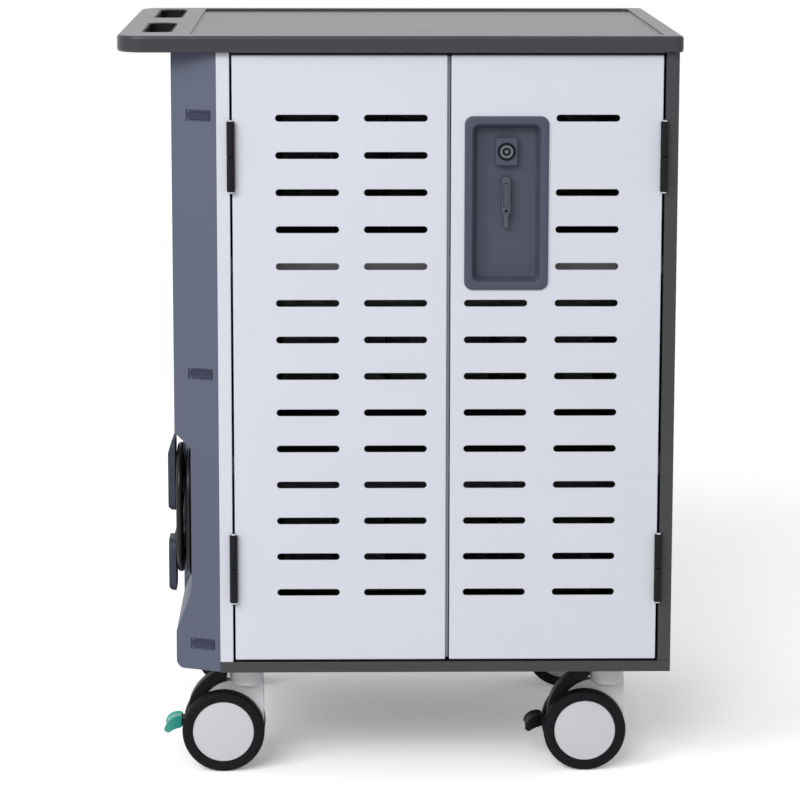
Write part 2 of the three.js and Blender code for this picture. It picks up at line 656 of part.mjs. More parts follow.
// Rear door: gives access to the power bay, with a key cylinder whose tab turns behind the post lip
const REAR_LOCK = new THREE.Vector3(REAR_DOOR[0] + REAR_LOCK_INSET, BACK, (DOOR_Z0 + DOOR_Z1) / 2);
const rearRows = slotRows().filter((_, row) => row % 2 === 0);
const rearHoles = slotsIn(REAR_DOOR, REAR_COLUMNS, rearRows);
const rearLockBore = barY(LOCK_R + RUN, BACK - DOOR_T, BACK + DOOR_T, REAR_LOCK.x, REAR_LOCK.z);
add("rear_door", cut(doorPan(REAR_DOOR, BACK, -1, rearHoles), rearLockBore), WHITE_STEEL);
function rearKeyCylinder() {
  const inner = BACK - DOOR_T - RUN;
  const across = (width) => [-width / 2, width / 2];
  const tab = block(across(LOCK_TAB_W), [inner - SHEET, inner], [-LOCK_R, LOCK_TAB]);
  const barrel = barY(LOCK_R, inner - SHEET, BACK + SEAT, 0, 0);
  const head = barY(LOCK_R + LOCK_HEAD, BACK + SEAT, BACK + PAN_PROUD, 0, 0);
  const keyY = [BACK + PAN_PROUD - KEYWAY_DEPTH, BACK + DOOR_T];
  const keyway = block(across(KEYWAY_W), keyY, across(KEYWAY_H));
  return cut(join(barrel, head, tab), keyway).translate(REAR_LOCK.x, 0, REAR_LOCK.z);
}
add("rear_key_cylinder", rearKeyCylinder(), BRIGHT_METAL);

// Lift-off hinges: the lower half with the pin is on the post, the upper half is on the door
function hinge(name, axisX, towardDoor, face, outward, z) {
  const axisY = face + outward * (HINGE_R + SEAT);
  const leafEnd = face - outward * HINGE_REACH;
  const leafY = [Math.min(axisY, leafEnd), Math.max(axisY, leafEnd)];
  const leafX = (side) => {
    const seat = axisX + side * (DOOR_GAP / 2 - SEAT);
    return [Math.min(seat, seat - side * HINGE_LEAF), Math.max(seat, seat - side * HINGE_LEAF)];
  };
  const lower = [z - HINGE_L / 2, z - SEAT / 2];
  const upper = [z + SEAT / 2, z + HINGE_L / 2];
  const pin = barZ(PIN_R, z - HINGE_L / 4, z + PIN_L, axisX, axisY, 12);
  const half = (side, zs) => join(barZ(HINGE_R, ...zs, axisX, axisY), block(leafX(side), leafY, zs));
  const bore = barZ(PIN_R + RUN, z - HINGE_L, z + PIN_L + RUN, axisX, axisY, 12);
  add(`${name}_hinge_post_half`, join(half(-towardDoor, lower), pin), BLACK_METAL);
  add(`${name}_hinge_door_half`, cut(half(towardDoor, upper), bore), BLACK_METAL);
}
const LEFT_AXIS = LEFT_DOOR[0] - DOOR_GAP / 2;
const RIGHT_AXIS = RIGHT_DOOR[1] + DOOR_GAP / 2;
const HINGE_ZS = { upper: DOOR_Z1 - HINGE_FROM_TOP, lower: DOOR_Z0 + HINGE_FROM_BOTTOM };
for (const [level, z] of Object.entries(HINGE_ZS)) {
  hinge(`left_${level}`, LEFT_AXIS, 1, FRONT, -1, z);
  hinge(`right_${level}`, RIGHT_AXIS, -1, FRONT, -1, z);
  hinge(`rear_${level}`, RIGHT_AXIS, -1, BACK, 1, z);
}

// Lock pan: a moulded dish in the right door, with a square boss round the key cylinder
function lockPan() {
  const rimY = FRONT - SEAT;
  const front = rimY - PAN_PROUD;
  const floorY = PAN_BACK - PAN_WALL;
  const rim = loft([
    panRing(wider(PAN_XS, -PAN_PROUD / 2), wider(PAN_ZS, -PAN_PROUD / 2), PAN_R, front),
    panRing(PAN_XS, PAN_ZS, PAN_R, front + PAN_PROUD / 2),
    panRing(PAN_XS, PAN_ZS, PAN_R, rimY),
  ]);
  const tub = loft([front + 1, PAN_BACK].map((y) => panRing(tubXs, tubZs, PAN_R - SEAT, y)));
  const mouth = (shrink, y) => {
    const by = -PAN_LIP - shrink;
    return panRing(wider(PAN_XS, by), wider(PAN_ZS, by), PAN_MOUTH_R, y);
  };
  const deep = (floorY - front + 1) / (floorY - front);
  const cavity = loft([mouth(PAN_SLOPE * (1 - deep), front - 1), mouth(PAN_SLOPE, floorY)]);
  const lockZ = PAN_Z - LOCK_DROP;
  const boss = block(
    [LATCH_X - BOSS_W / 2, LATCH_X + BOSS_W / 2],
    [floorY - BOSS_T, floorY + 1],
    [lockZ - BOSS_H / 2, lockZ + BOSS_H / 2],
  );
  const lockBore = barY(LOCK_R + RUN, floorY - 2 * BOSS_T, PAN_BACK + 1, LATCH_X, lockZ);
  const spindleBore = barY(SPINDLE_R + RUN, floorY - 1, PAN_BACK + 1, LATCH_X, LATCH_Z);
  return cut(join(cut(join(rim, tub), cavity), boss), lockBore, spindleBore);
}
add("lock_pan", lockPan(), PAN_PLASTIC);

function keyCylinder() {
  const front = PAN_BACK - PAN_WALL - BOSS_T - LOCK_PROUD;
  const back = PAN_BACK + RUN + SHEET;
  const across = (width) => [-width / 2, width / 2];
  const barrel = barY(LOCK_R, front, back, 0, 0);
  const tab = block(across(LOCK_TAB_W), [back - SHEET, back], [0, LOCK_TAB]);
  const keyway = block(across(KEYWAY_W), [front - 1, front + KEYWAY_DEPTH], across(KEYWAY_H));
  return cut(join(barrel, tab), keyway).translate(LATCH_X, 0, PAN_Z - LOCK_DROP);
}
add("key_cylinder", keyCylinder(), BRIGHT_METAL);

// Latch: a lever with a padlock eye turns a cam that reaches behind the strike on the upper shelf
function latchHandle() {
  const back = PAN_BACK - PAN_WALL - HANDLE_GAP;
  const half = HANDLE_W / 2;
  const waist = HANDLE_WAIST / 2;
  const rightSide = [
    [waist, -HANDLE_DOWN],
    [half, -HANDLE_DOWN + half],
    [waist, -HANDLE_DOWN + HANDLE_W],
    [waist, -HANDLE_W],
    [half, -half],
    [half, HANDLE_UP - HANDLE_CHAMFER],
    [waist, HANDLE_UP],
  ];
  const leftSide = rightSide.map(([x, z]) => [-x, z]).reverse();
  const shape = outline([...rightSide, ...leftSide]);
  const eye = new THREE.Path().absarc(0, -HANDLE_DOWN + half, EYE_R, 0, 2 * Math.PI);
  shape.holes.push(eye);
  const lever = alongY(shape, back - HANDLE_T, back, 5);
  const spindle = barY(SPINDLE_R, back - 1, CAM_Y - SEAT, 0, 0, 12);
  return join(lever, spindle).translate(LATCH_X, 0, LATCH_Z);
}
add("latch_handle", latchHandle(), BLACK_METAL);

function latchCam() {
  const hub = barY(CAM_HUB_R, CAM_Y, CAM_Y + CAM_T, 0, 0);
  const arm = block([0, CAM_L], [CAM_Y, CAM_Y + CAM_T], [-CAM_W / 2, CAM_W / 2]);
  return join(hub, arm).translate(LATCH_X, 0, LATCH_Z);
}
add("latch_cam", latchCam(), BLACK_METAL);

// Side housing: a moulded shell along the left wall, with clip recesses and an alcove for the cord
function sideHousing() {
  const x1 = LEFT - SEAT;
  const top = WALL_TOP;
  const plan = (inset, open) => {
    const x0 = HOUSING_X + inset;
    const y = BACK - HOUSING_INSET - inset;
    const slant = (HOUSING_SLANT * (x1 + open - x0)) / HOUSING_W;
    return outline([[x1 + open, -y], [x1 + open, y], [x0, y - slant], [x0, -y + slant]]);
  };
  const silhouette = roundedShape(
    [HOUSING_X, x1 + HOUSING_W],
    [HOUSING_Z, top],
    [HOUSING_R, 1, 1, 1],
  );
  const whole = common(alongZ(plan(0, 0), HOUSING_Z, top), alongY(silhouette, -BACK, BACK, 4));
  const inside = alongZ(plan(HOUSING_WALL, 1), HOUSING_Z + HOUSING_WALL, top - HOUSING_WALL);
  const pocket = (grow) =>
    outline([
      [HOUSING_X - ALCOVE_DEPTH, ALCOVE_Z1 + 2 * ALCOVE_CEILING + grow],
      [ALCOVE_X + grow, ALCOVE_Z1 + grow],
      [ALCOVE_X + grow, ALCOVE_Z0 - grow],
      [HOUSING_X - ALCOVE_DEPTH, ALCOVE_Z0 - 2 * ALCOVE_SLOPE - grow],
    ]);
  const end = GLAND_END + ALCOVE_SPARE;
  const alcove = alongY(pocket(0), FRONT - 1, end);
  const lining = alongY(pocket(HOUSING_WALL), FRONT - 1, end + HOUSING_WALL);
  const slope = Math.atan2(HOUSING_SLANT, HOUSING_W);
  const recessY = FRONT + HOUSING_INSET + (HOUSING_SLANT * RECESS_INSET) / HOUSING_W;
  const recesses = RECESS_FALLS.map((fall) =>
    block([-RECESS_W / 2, RECESS_W / 2], [-1, RECESS_T], [-RECESS_H / 2, RECESS_H / 2])
      .rotateZ(-slope)
      .translate(x1 - RECESS_INSET, recessY, top - fall),
  );
  return cut(whole, cut(inside, lining), alcove, ...recesses);
}
add("side_housing", sideHousing(), HOUSING_PLASTIC);

// Cord hooks: a round stem that the loops lie on, and a plate that keeps them from slipping off
function cordHook(z, up, plateUp, plateDown) {
  const stem = new THREE.Shape();
  const from = up > 0 ? 0 : Math.PI;
  stem.absarc(WRAP_MID_Y, z, HOOK_STEM - HOOK_CLEAR, from, from + Math.PI, false);
  const plateX = CORD_X2 - CORD_D / 2 - HOOK_ROOM;
  const bar = alongX(stem, plateX - 1, ALCOVE_X - SEAT, 5);
  const lean = up > 0 ? HOOK_LEAN : 0; // the upper plate's outside leans to the housing at its top
  const top = z + plateUp;
  const bottom = z - plateDown;
  const plate = outline([
    [plateX, bottom],
    [plateX, top],
    [plateX - HOOK_T + lean, top],
    [plateX - HOOK_T, top - 2 * lean - HOOK_LEAN],
    [plateX - HOOK_T, bottom + HOOK_LEAN],
    [plateX - HOOK_T / 2, bottom],
  ]);
  const ys = [WRAP_MID_Y - HOOK_W / 2, WRAP_MID_Y + HOOK_W / 2];
  const face = alongX(
    roundedShape(ys, [bottom - SEAT, top + SEAT], HOOK_W / 4),
    plateX - 2 * HOOK_T,
    plateX + 2 * HOOK_T,
    4,
  );
  return join(common(alongY(plate, ...ys), face), bar);
}
const upperHook = cordHook(WRAP_HIGH_Z, 1, UPPER_PLATE_UP, UPPER_PLATE_DOWN);
add("upper_cord_hook", upperHook, HOUSING_PLASTIC);
const lowerHook = cordHook(WRAP_LOW_Z, -1, LOWER_PLATE_UP, LOWER_PLATE_DOWN);
add("lower_cord_hook", lowerHook, HOUSING_PLASTIC);

// Power cord: one tube from its gland, wound inwards on the inner layer and outwards on the outer one,
// with the end over the top of the loops and the plug hanging behind them

// Share of a quarter turn that the straight run takes, the same on every loop so that the loops lie alike
const RUN_SHARE = WRAP_RUN / (WRAP_RUN + (Math.PI * (CORD_LEAST_R + CORD_MOST_R)) / 2);

// A point of a loop at a turn count from its lowest point: forwards, up the front, back and down.
function loopPoint(turn, radius, x) {
  const quarter = (((turn % 1) + 1) % 1) * 4;
  const side = Math.floor(quarter);
  const share = side % 2 === 0 ? quarter - side : 1 - (quarter - side); // from the loop's end to its middle
  const turned = Math.min(share / (1 - RUN_SHARE), 1) * (Math.PI / 2);
  const down = Math.max(0, share - (1 - RUN_SHARE)) / RUN_SHARE;
  const y = (side < 2 ? -1 : 1) * radius * Math.sin(turned);
  const rise = radius * Math.cos(turned) + (WRAP_RUN / 2) * (1 - down);
  const z = (side === 1 || side === 2 ? 1 : -1) * rise;
  return new THREE.Vector3(x, WRAP_MID_Y + y, (WRAP_LOW_Z + WRAP_HIGH_Z) / 2 + z);
}

const ease = (t) => t * t * (3 - 2 * t);

function cordRoute() {
  const points = [];
  const leadEnd = CORD_MOST_R + CORD_LEAD;
  const low = loopPoint(0, CORD_MOST_R, CORD_X1);
  for (let step = 4; step > 0; step--) {
    points.push(new THREE.Vector3(CORD_X1, WRAP_MID_Y + (leadEnd * step) / 4, low.z));
  }
  const last = 2 * CORD_TURNS;
  const count = Math.round(last * CORD_STEPS);
  for (let i = 0; i <= count; i++) {
    const turn = (i * last) / count;
    const radius = CORD_LEAST_R + CORD_PITCH * Math.abs(turn - CORD_TURNS);
    const climb = THREE.MathUtils.clamp(2 * (turn - CORD_TURNS) + 0.5, 0, 1);
    points.push(loopPoint(turn, radius, CORD_X1 - CORD_LAYER * ease(climb)));
  }
  const tailSteps = CORD_STEPS / 3;
  for (let i = 1; i <= tailSteps; i++) {
    const share = i / tailSteps;
    const turn = last + share * 0.2;
    points.push(loopPoint(turn, CORD_MOST_R + CORD_TAIL_OUT * ease(share), CORD_X2));
  }
  const end = points[points.length - 1];
  const y = WRAP_MID_Y + CORD_MOST_R + CORD_TAIL_OUT;
  points.push(new THREE.Vector3(CORD_X2, y, end.z - CORD_D));
  points.push(new THREE.Vector3(CORD_X2, y, end.z - 2 * CORD_D));
  points.push(new THREE.Vector3(CORD_X2, y, end.z - 3 * CORD_D));
  return points;
}

// Rings of the tube, carried along the route without twist.
function tubeRings(points, radius, sides) {
  const direction = (i) =>
    points[Math.min(i + 1, points.length - 1)].clone().sub(points[Math.max(i - 1, 0)]).normalize();
  const across = new THREE.Vector3(1, 0, 0);
  return points.map((point, i) => {
    const ahead = direction(i);
    across.addScaledVector(ahead, -across.dot(ahead)).normalize();
    const third = ahead.clone().cross(across);
    return Array.from({ length: sides }, (_, k) => {
      const angle = (2 * Math.PI * (k + 0.5)) / sides;
      return point
        .clone()
        .addScaledVector(across, radius * Math.cos(angle))
        .addScaledVector(third, radius * Math.sin(angle));
    });
  });
}

const route = cordRoute();
add("power_cord", loft(tubeRings(route, CORD_D / 2, CORD_SIDES)), BLACK_PLASTIC);

// Least distance between stretches of the cord that lie apart along its length, less its diameter
function leastGap(points, diameter) {
  const spots = [];
  let travelled = 0;
  for (let i = 0; i + 1 < points.length; i++) {
    const length = points[i].distanceTo(points[i + 1]);
    for (let k = 0; k < 4; k++) {
      spots.push({ at: points[i].clone().lerp(points[i + 1], k / 4), s: travelled + (length * k) / 4 });
    }
    travelled += length;
  }
  let least = Infinity;
  spots.forEach((a, i) => {
    for (const b of spots.slice(i + 1)) {
      if (b.s - a.s > 4 * diameter) {
        least = Math.min(least, a.at.distanceTo(b.at));
      }
    }
  });
  return { gap: least - diameter, length: travelled };
}
const { length: cordLength, gap: cordGap } = leastGap(route, CORD_D);
console.log(`cord: ${cordLength.toFixed(0)} mm long, least gap to itself ${cordGap.toFixed(2)} mm`);

// Gland: a strain relief on the alcove's wall that lays the cord along it
function cordGland() {
  const start = route[0];
  const nose = start.y + SEAT;
  const back = nose + GLAND_NOSE;
  const ring = (y, radius) =>
    Array.from({ length: GLAND_SIDES }, (_, k) => {
      const angle = (-2 * Math.PI * (k + 0.5)) / GLAND_SIDES;
      return new THREE.Vector3(start.x + radius * Math.cos(angle), y, start.z + radius * Math.sin(angle));
    });
  const taper = loft([ring(nose, NECK_TIP_R), ring(back + 1, NECK_ROOT_R)]);
  const body = block(
    [start.x - CORD_D, ALCOVE_X - SEAT],
    [back, back + GLAND_BODY],
    [start.z - CORD_D / 2, start.z + CORD_D],
  );
  const trim = block([ALCOVE_X - SEAT, RIGHT], [FRONT, BACK], [0, OVERALL_H]);
  return join(cut(taper, trim), body);
}
add("cord_gland", cordGland(), BLACK_PLASTIC);

// Plug: a moulded grip with a tapered neck and three pins, pointing down
function powerPlug() {
  const end = route[route.length - 1];
  const neckZ = end.z - SEAT;
  const bodyZ = neckZ - PLUG_NECK;
  const pinZ = bodyZ - PLUG_BODY;
  const ring = (z, halfX, halfY) => {
    const bevel = Math.min(halfX, halfY) * PLUG_BEVEL;
    const corners = [
      [halfX, -halfY + bevel], [halfX, halfY - bevel], [halfX - bevel, halfY], [-halfX + bevel, halfY],
      [-halfX, halfY - bevel], [-halfX, -halfY + bevel], [-halfX + bevel, -halfY], [halfX - bevel, -halfY],
    ];
    return corners.map(([x, y]) => new THREE.Vector3(end.x + x, end.y + y, z));
  };
  const body = loft([
    ring(pinZ, PLUG_T / 2, PLUG_W / 2),
    ring(bodyZ - PLUG_SHOULDER, PLUG_T / 2, PLUG_W / 2),
    ring(bodyZ, NECK_ROOT_R, NECK_ROOT_R),
    ring(neckZ, NECK_TIP_R, NECK_TIP_R),
  ]);
  const pinAt = ([x, y]) =>
    block([x - BLADE_W / 2, x + BLADE_W / 2], [y - BLADE_T / 2, y + BLADE_T / 2], [-BLADE_L, 1]);
  const places = [[-BLADE_BACK, -BLADE_SPREAD], [-BLADE_BACK, BLADE_SPREAD], [BLADE_BACK, 0]];
  const pins = places.map((place) => pinAt(place).translate(end.x, end.y, pinZ));
  return join(body, ...pins);
}
add("power_plug", powerPlug(), BLACK_PLASTIC);

// Casters: a plate with a stem under the base, a swivelling hood and two wheels on its axle

function wheel() {
  const shoulder = WHEEL_R - TYRE_SHOULDER;
  const disc = DISC_D / 2;
  const profile = [
    [AXLE_R + RUN, 0],
    [shoulder, 0],
    [WHEEL_R, TYRE_SHOULDER],
    [WHEEL_R, WHEEL_W - TYRE_SHOULDER],
    [shoulder, WHEEL_W],
    [disc, WHEEL_W],
    [disc - DISC_DEPTH, WHEEL_W - DISC_DEPTH],
    [AXLE_R + RUN, WHEEL_W - DISC_DEPTH],
    [AXLE_R + RUN, 0],
  ].map(([r, y]) => new THREE.Vector2(r, y));
  const flat = Math.PI / WHEEL_SIDES;
  return geometryOf(solid(new THREE.LatheGeometry(profile, WHEEL_SIDES, flat, 2 * Math.PI)));
}

const WHEEL_IN = WEB_T / 2 + ARM_T + 2 * RUN; // from the caster's middle to each wheel's inner face
const NECK_Z = 2 * AXLE_Z + NECK_RISE;
const PLATE_Z = FLOOR_Z - SHEET - SEAT - PLATE_T;

function casterHood() {
  const hood = new THREE.Shape();
  const flank = Math.acos((TRAIL + NECK_R - COWL_X) / HOOD_R);
  hood.absarc(COWL_X - TRAIL, AXLE_Z + COWL_Z, HOOD_R, flank, 2 * Math.PI - flank, false);
  const half = WEB_T / 2;
  const web = alongY(hood, -half, half, 12);
  const bridge = block([-NECK_R, NECK_R], [-half, half], [AXLE_Z, NECK_Z + NECK_RISE]);
  const neck = barZ(NECK_R, NECK_Z, PLATE_Z - SEAT, 0, 0, 20);
  const axle = barY(AXLE_R, -WHEEL_IN - WHEEL_W, WHEEL_IN + WHEEL_W, -TRAIL, AXLE_Z, 12);
  const socket = barZ(STEM_R + RUN, PLATE_Z - STEM_L - 1, PLATE_Z + 1, 0, 0, 12);
  return cut(join(web, bridge, neck, axle), socket);
}

const casterPlate = () =>
  join(
    block([-PLATE_W / 2, PLATE_W / 2], [-PLATE_W / 2, PLATE_W / 2], [PLATE_Z, PLATE_Z + PLATE_T]),
    barZ(STEM_R, PLATE_Z - STEM_L, PLATE_Z + 1, 0, 0, 12),
  );

// Foot tread: a claw that curves out and down from the lever's stalk and widens to its tip
function brakeTread() {
  const claw = new THREE.Shape();
  const [low, high] = TREAD_ROOT_Z;
  claw.moveTo(-TREAD_ROOT_X, low);
  claw.lineTo(-TREAD_ROOT_X, high);
  claw.quadraticCurveTo(-TREAD_TIP_X + TREAD_TIP_T, high, -TREAD_TIP_X, 0);
  claw.lineTo(-TREAD_TIP_X + TREAD_TIP_T, -TREAD_DROOP);
  claw.quadraticCurveTo(-TREAD_ROOT_X - 2 * TREAD_TIP_T, low, -TREAD_ROOT_X, low);
  const tread = alongY(claw, -0.5, 0.5, 5);
  const places = tread.attributes.position;
  for (let i = 0; i < places.count; i++) {
    const out = (-places.getX(i) - TREAD_ROOT_X) / (TREAD_TIP_X - TREAD_ROOT_X);
    places.setY(i, places.getY(i) * THREE.MathUtils.lerp(PEDAL_W, TREAD_W, out));
  }
  return tread.translate(-TRAIL, 0, AXLE_Z);
}

// Brake lever: an eye on the axle, an arm beside the hood, a band round the hood and a stalk to the tread
function brakeLever() {
  const inner = HOOD_R + PEDAL_GAP;
  const outer = inner + PEDAL_BAND;
  const armY = [-WEB_T / 2 - RUN - ARM_T, -WEB_T / 2 - RUN];
  const arc = (shape, x, z, radius, fromDegrees, toDegrees) => {
    const [from, to] = [fromDegrees, toDegrees].map(THREE.MathUtils.degToRad);
    shape.absarc(x - TRAIL, AXLE_Z + z, radius, from, to, to < from);
  };
  const band = new THREE.Shape();
  arc(band, COWL_X, COWL_Z, outer, ...BAND_ANGLES);
  arc(band, COWL_X, COWL_Z, inner, BAND_ANGLES[1], BAND_TAPER_ANGLE);
  const sector = new THREE.Shape();
  arc(sector, 0, 0, ARM_R, ...ARM_ANGLES);
  arc(sector, 0, 0, EYE_ROOT_R, ...ARM_ROOT_ANGLES);
  const eye = barY(LEVER_EYE_R, ...armY, -TRAIL, AXLE_Z);
  const stalk = block(
    [-TRAIL - TREAD_ROOT_X - 1, COWL_X - TRAIL - outer + STALK_LAP],
    [-PEDAL_W / 2, PEDAL_W / 2],
    STALK_Z.map((z) => AXLE_Z + z),
  );
  const lever = join(
    alongY(band, -PEDAL_W / 2, PEDAL_W / 2, 12),
    alongY(sector, ...armY, 3),
    eye,
    stalk,
    brakeTread(),
  );
  const bore = barY(AXLE_R + RUN, armY[0] - 1, armY[1] + 1, -TRAIL, AXLE_Z, 12);
  return cut(lever, bore);
}

function caster(name, x, y, pedal) {
  const swivel = new THREE.Group();
  swivel.position.set(x, y, 0);
  cart.add(swivel);
  add(`${name}_caster_plate`, casterPlate(), BRIGHT_METAL, swivel);
  add(`${name}_caster_hood`, casterHood(), HOOD_PLASTIC, swivel);
  const outerWheel = add(`${name}_rear_wheel`, wheel(), TYRE_RUBBER, swivel);
  outerWheel.position.set(-TRAIL, WHEEL_IN, AXLE_Z);
  const innerWheel = add(`${name}_front_wheel`, wheel(), TYRE_RUBBER, swivel);
  innerWheel.position.set(-TRAIL, -WHEEL_IN, AXLE_Z);
  innerWheel.rotation.z = Math.PI;
  if (pedal) {
    add(`${name}_brake_lever`, brakeLever(), pedal, swivel);
  }
}
const CASTER_XS = { left: HOUSING_X + CASTER_X_LEFT, right: RIGHT - CASTER_X_RIGHT };
caster("front_left", CASTER_XS.left, FRONT + CASTER_Y, TEAL_PLASTIC);
caster("front_right", CASTER_XS.right, FRONT + CASTER_Y, BLACK_PLASTIC);
caster("rear_left", CASTER_XS.left, BACK - CASTER_Y, null);
caster("rear_right", CASTER_XS.right, BACK - CASTER_Y, null);

export default cart;
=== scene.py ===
# A laptop charging cart: a steel cabinet on twin-wheel casters, with a moulded top that is also its push
# handle, slotted doors with a lock pan, and its power cord wound on the side. Metres, front at -Y, +Z up.
import json
import math

import bmesh
import bpy
from mathutils import Euler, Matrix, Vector
from mathutils.geometry import tessellate_polygon


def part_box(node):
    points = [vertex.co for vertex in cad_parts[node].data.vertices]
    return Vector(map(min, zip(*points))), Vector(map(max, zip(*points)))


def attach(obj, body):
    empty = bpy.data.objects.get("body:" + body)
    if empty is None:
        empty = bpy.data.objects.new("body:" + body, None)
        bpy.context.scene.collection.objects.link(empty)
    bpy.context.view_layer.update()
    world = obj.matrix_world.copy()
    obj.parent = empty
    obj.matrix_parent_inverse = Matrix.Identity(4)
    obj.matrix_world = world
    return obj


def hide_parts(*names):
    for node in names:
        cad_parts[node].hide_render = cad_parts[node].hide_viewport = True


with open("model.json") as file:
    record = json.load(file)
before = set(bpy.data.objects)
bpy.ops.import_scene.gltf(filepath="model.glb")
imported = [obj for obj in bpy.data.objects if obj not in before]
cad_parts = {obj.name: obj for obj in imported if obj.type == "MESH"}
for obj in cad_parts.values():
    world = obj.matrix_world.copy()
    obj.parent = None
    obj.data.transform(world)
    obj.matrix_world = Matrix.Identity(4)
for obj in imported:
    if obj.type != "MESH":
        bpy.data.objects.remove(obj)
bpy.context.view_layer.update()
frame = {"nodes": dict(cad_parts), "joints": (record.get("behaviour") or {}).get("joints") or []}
scene = bpy.context.scene

# The camera stands in front of the cart, a little above its top, and looks slightly down.
# A long lens keeps the doors nearly square.
camera = bpy.data.objects.new("camera", bpy.data.cameras.new("camera"))
scene.collection.objects.link(camera)
scene.camera = camera
camera.location = (-0.0892, -5.0, 1.4323)
CAMERA_PITCH, CAMERA_ROLL, CAMERA_YAW = 0.1732, -0.0016, 0.0189
camera.rotation_euler = Euler((math.pi / 2 - CAMERA_PITCH, CAMERA_ROLL, -CAMERA_YAW), "XYZ")
camera.data.sensor_width = 36
camera.data.lens = 146.2
camera.data.shift_y = -0.03

# The power cord is a black round mains lead in a smooth jacket. It leaves its gland in the housing's alcove,
# is wound inwards and out again on two hooks, and its plug hangs behind the loops.
CORD_D = 0.010
CORD_LEAST_R = 0.036
CORD_PITCH = 0.0108
CORD_TURNS = 2.75
CORD_LAYER = 0.014
CORD_STEPS = 72
CORD_LEAD = 0.026
LEAD_STEPS = 8
CORD_TAIL_OUT = 0.015
TAIL_TURN = 0.2
CORD_MOST_R = CORD_LEAST_R + CORD_PITCH * CORD_TURNS
WRAP_RUN = 0.060
WRAP_Y = -0.200
WRAP_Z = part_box("lower_cord_hook")[1].z + WRAP_RUN / 2
CORD_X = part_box("power_cord")[1].x - CORD_D / 2 * math.cos(math.pi / 6)
RUN_SHARE = WRAP_RUN / (WRAP_RUN + math.pi * (CORD_LEAST_R + CORD_MOST_R) / 2)


def loop_point(turn, radius, x):
    """A point of a loop, at a turn count from its lowest point: forwards, up the front, back and down."""
    quarter = turn % 1 * 4
    side = int(quarter)
    share = quarter - side if side % 2 == 0 else 1 - (quarter - side)
    turned = min(share / (1 - RUN_SHARE), 1) * math.pi / 2
    down = max(0, share - (1 - RUN_SHARE)) / RUN_SHARE
    y = (-1 if side < 2 else 1) * radius * math.sin(turned)
    rise = radius * math.cos(turned) + WRAP_RUN / 2 * (1 - down)
    return Vector((x, WRAP_Y + y, WRAP_Z + (rise if side in (1, 2) else -rise)))


def ease(share):
    return share * share * (3 - 2 * share)


def cord_route():
    """The cord's points: out of the gland, inwards round the hooks, out again a layer on, and down."""
    low = loop_point(0, CORD_MOST_R, CORD_X)
    lead_end = CORD_MOST_R + CORD_LEAD
    route = [Vector((CORD_X, WRAP_Y + lead_end * step / LEAD_STEPS, low.z))
             for step in range(LEAD_STEPS, 0, -1)]
    whole = 2 * CORD_TURNS
    count = round(whole * CORD_STEPS)
    for i in range(count + 1):
        turn = i * whole / count
        radius = CORD_LEAST_R + CORD_PITCH * abs(turn - CORD_TURNS)
        climb = min(max(2 * (turn - CORD_TURNS) + 0.5, 0), 1)
        route.append(loop_point(turn, radius, CORD_X - CORD_LAYER * ease(climb)))
    tail_steps = CORD_STEPS // 3
    for i in range(1, tail_steps + 1):
        share = i / tail_steps
        radius = CORD_MOST_R + CORD_TAIL_OUT * ease(share)
        route.append(loop_point(whole + TAIL_TURN * share, radius, CORD_X - CORD_LAYER))
    end = route[-1]
    y = WRAP_Y + CORD_MOST_R + CORD_TAIL_OUT
    route += [Vector((end.x, y, end.z - CORD_D * step)) for step in (1, 2, 3)]
    return route


def tone(red, green, blue):
    """A colour from 0 to 255, as it looks on a screen, in the linear values that shaders take."""
    shares = [c / 255 for c in (red, green, blue)]
    return [s / 12.92 if s <= 0.04045 else ((s + 0.055) / 1.055) ** 2.4 for s in shares] + [1]


class Wire:
    """One output of a shader node. Arithmetic on it adds Math nodes."""

    def __init__(self, finish, socket):
        self.finish = finish
        self.socket = socket

    def math(self, operation, first, second):
        return self.finish.node("ShaderNodeMath", {"operation": operation}, {0: first, 1: second})

    def __add__(self, other):
        return self.math("ADD", self, other)

    __radd__ = __add__

    def __sub__(self, other):
        return self.math("SUBTRACT", self, other)

    def __mul__(self, other):
        return self.math("MULTIPLY", self, other)

    __rmul__ = __mul__


class Finish:
    """A procedural material on one Principled shader."""

    def __init__(self, name, constants):
        self.material = bpy.data.materials.new(name)
        self.material.use_nodes = True
        self.nodes = self.material.node_tree.nodes
        self.links = self.material.node_tree.links
        self.shader = self.nodes["Principled BSDF"]
        for socket, value in constants.items():
            self.shader.inputs[socket].default_value = value

    def node(self, kind, settings, sockets, output=0):
        made = self.nodes.new(kind)
        for name, value in settings.items():
            setattr(made, name, value)
        for socket, value in sockets.items():
            if isinstance(value, Wire):
                self.links.new(value.socket, made.inputs[socket])
            else:
                made.inputs[socket].default_value = value
        return None if output is None else Wire(self, made.outputs[output])

    def feed(self, socket, wire):
        self.links.new(wire.socket, self.shader.inputs[socket])

    def noise(self, scale, detail):
        place = self.node("ShaderNodeTexCoord", {}, {}, "Object")
        return self.node("ShaderNodeTexNoise", {}, {"Vector": place, "Scale": scale, "Detail": detail}, "Fac")

    def mix(self, share, first, second):
        return self.node("ShaderNodeMix", {"data_type": "RGBA"}, {"Factor": share, 6: first, 7: second}, 2)

    def bump(self, height, distance):
        self.feed("Normal", self.node("ShaderNodeBump", {}, {"Height": height, "Distance": distance}))


def shaded(colour, by):
    return [min(c * by, 1) for c in colour[:3]] + [1]


CLOUD_SCALE = 6
SPECK_WEAR = 0.12


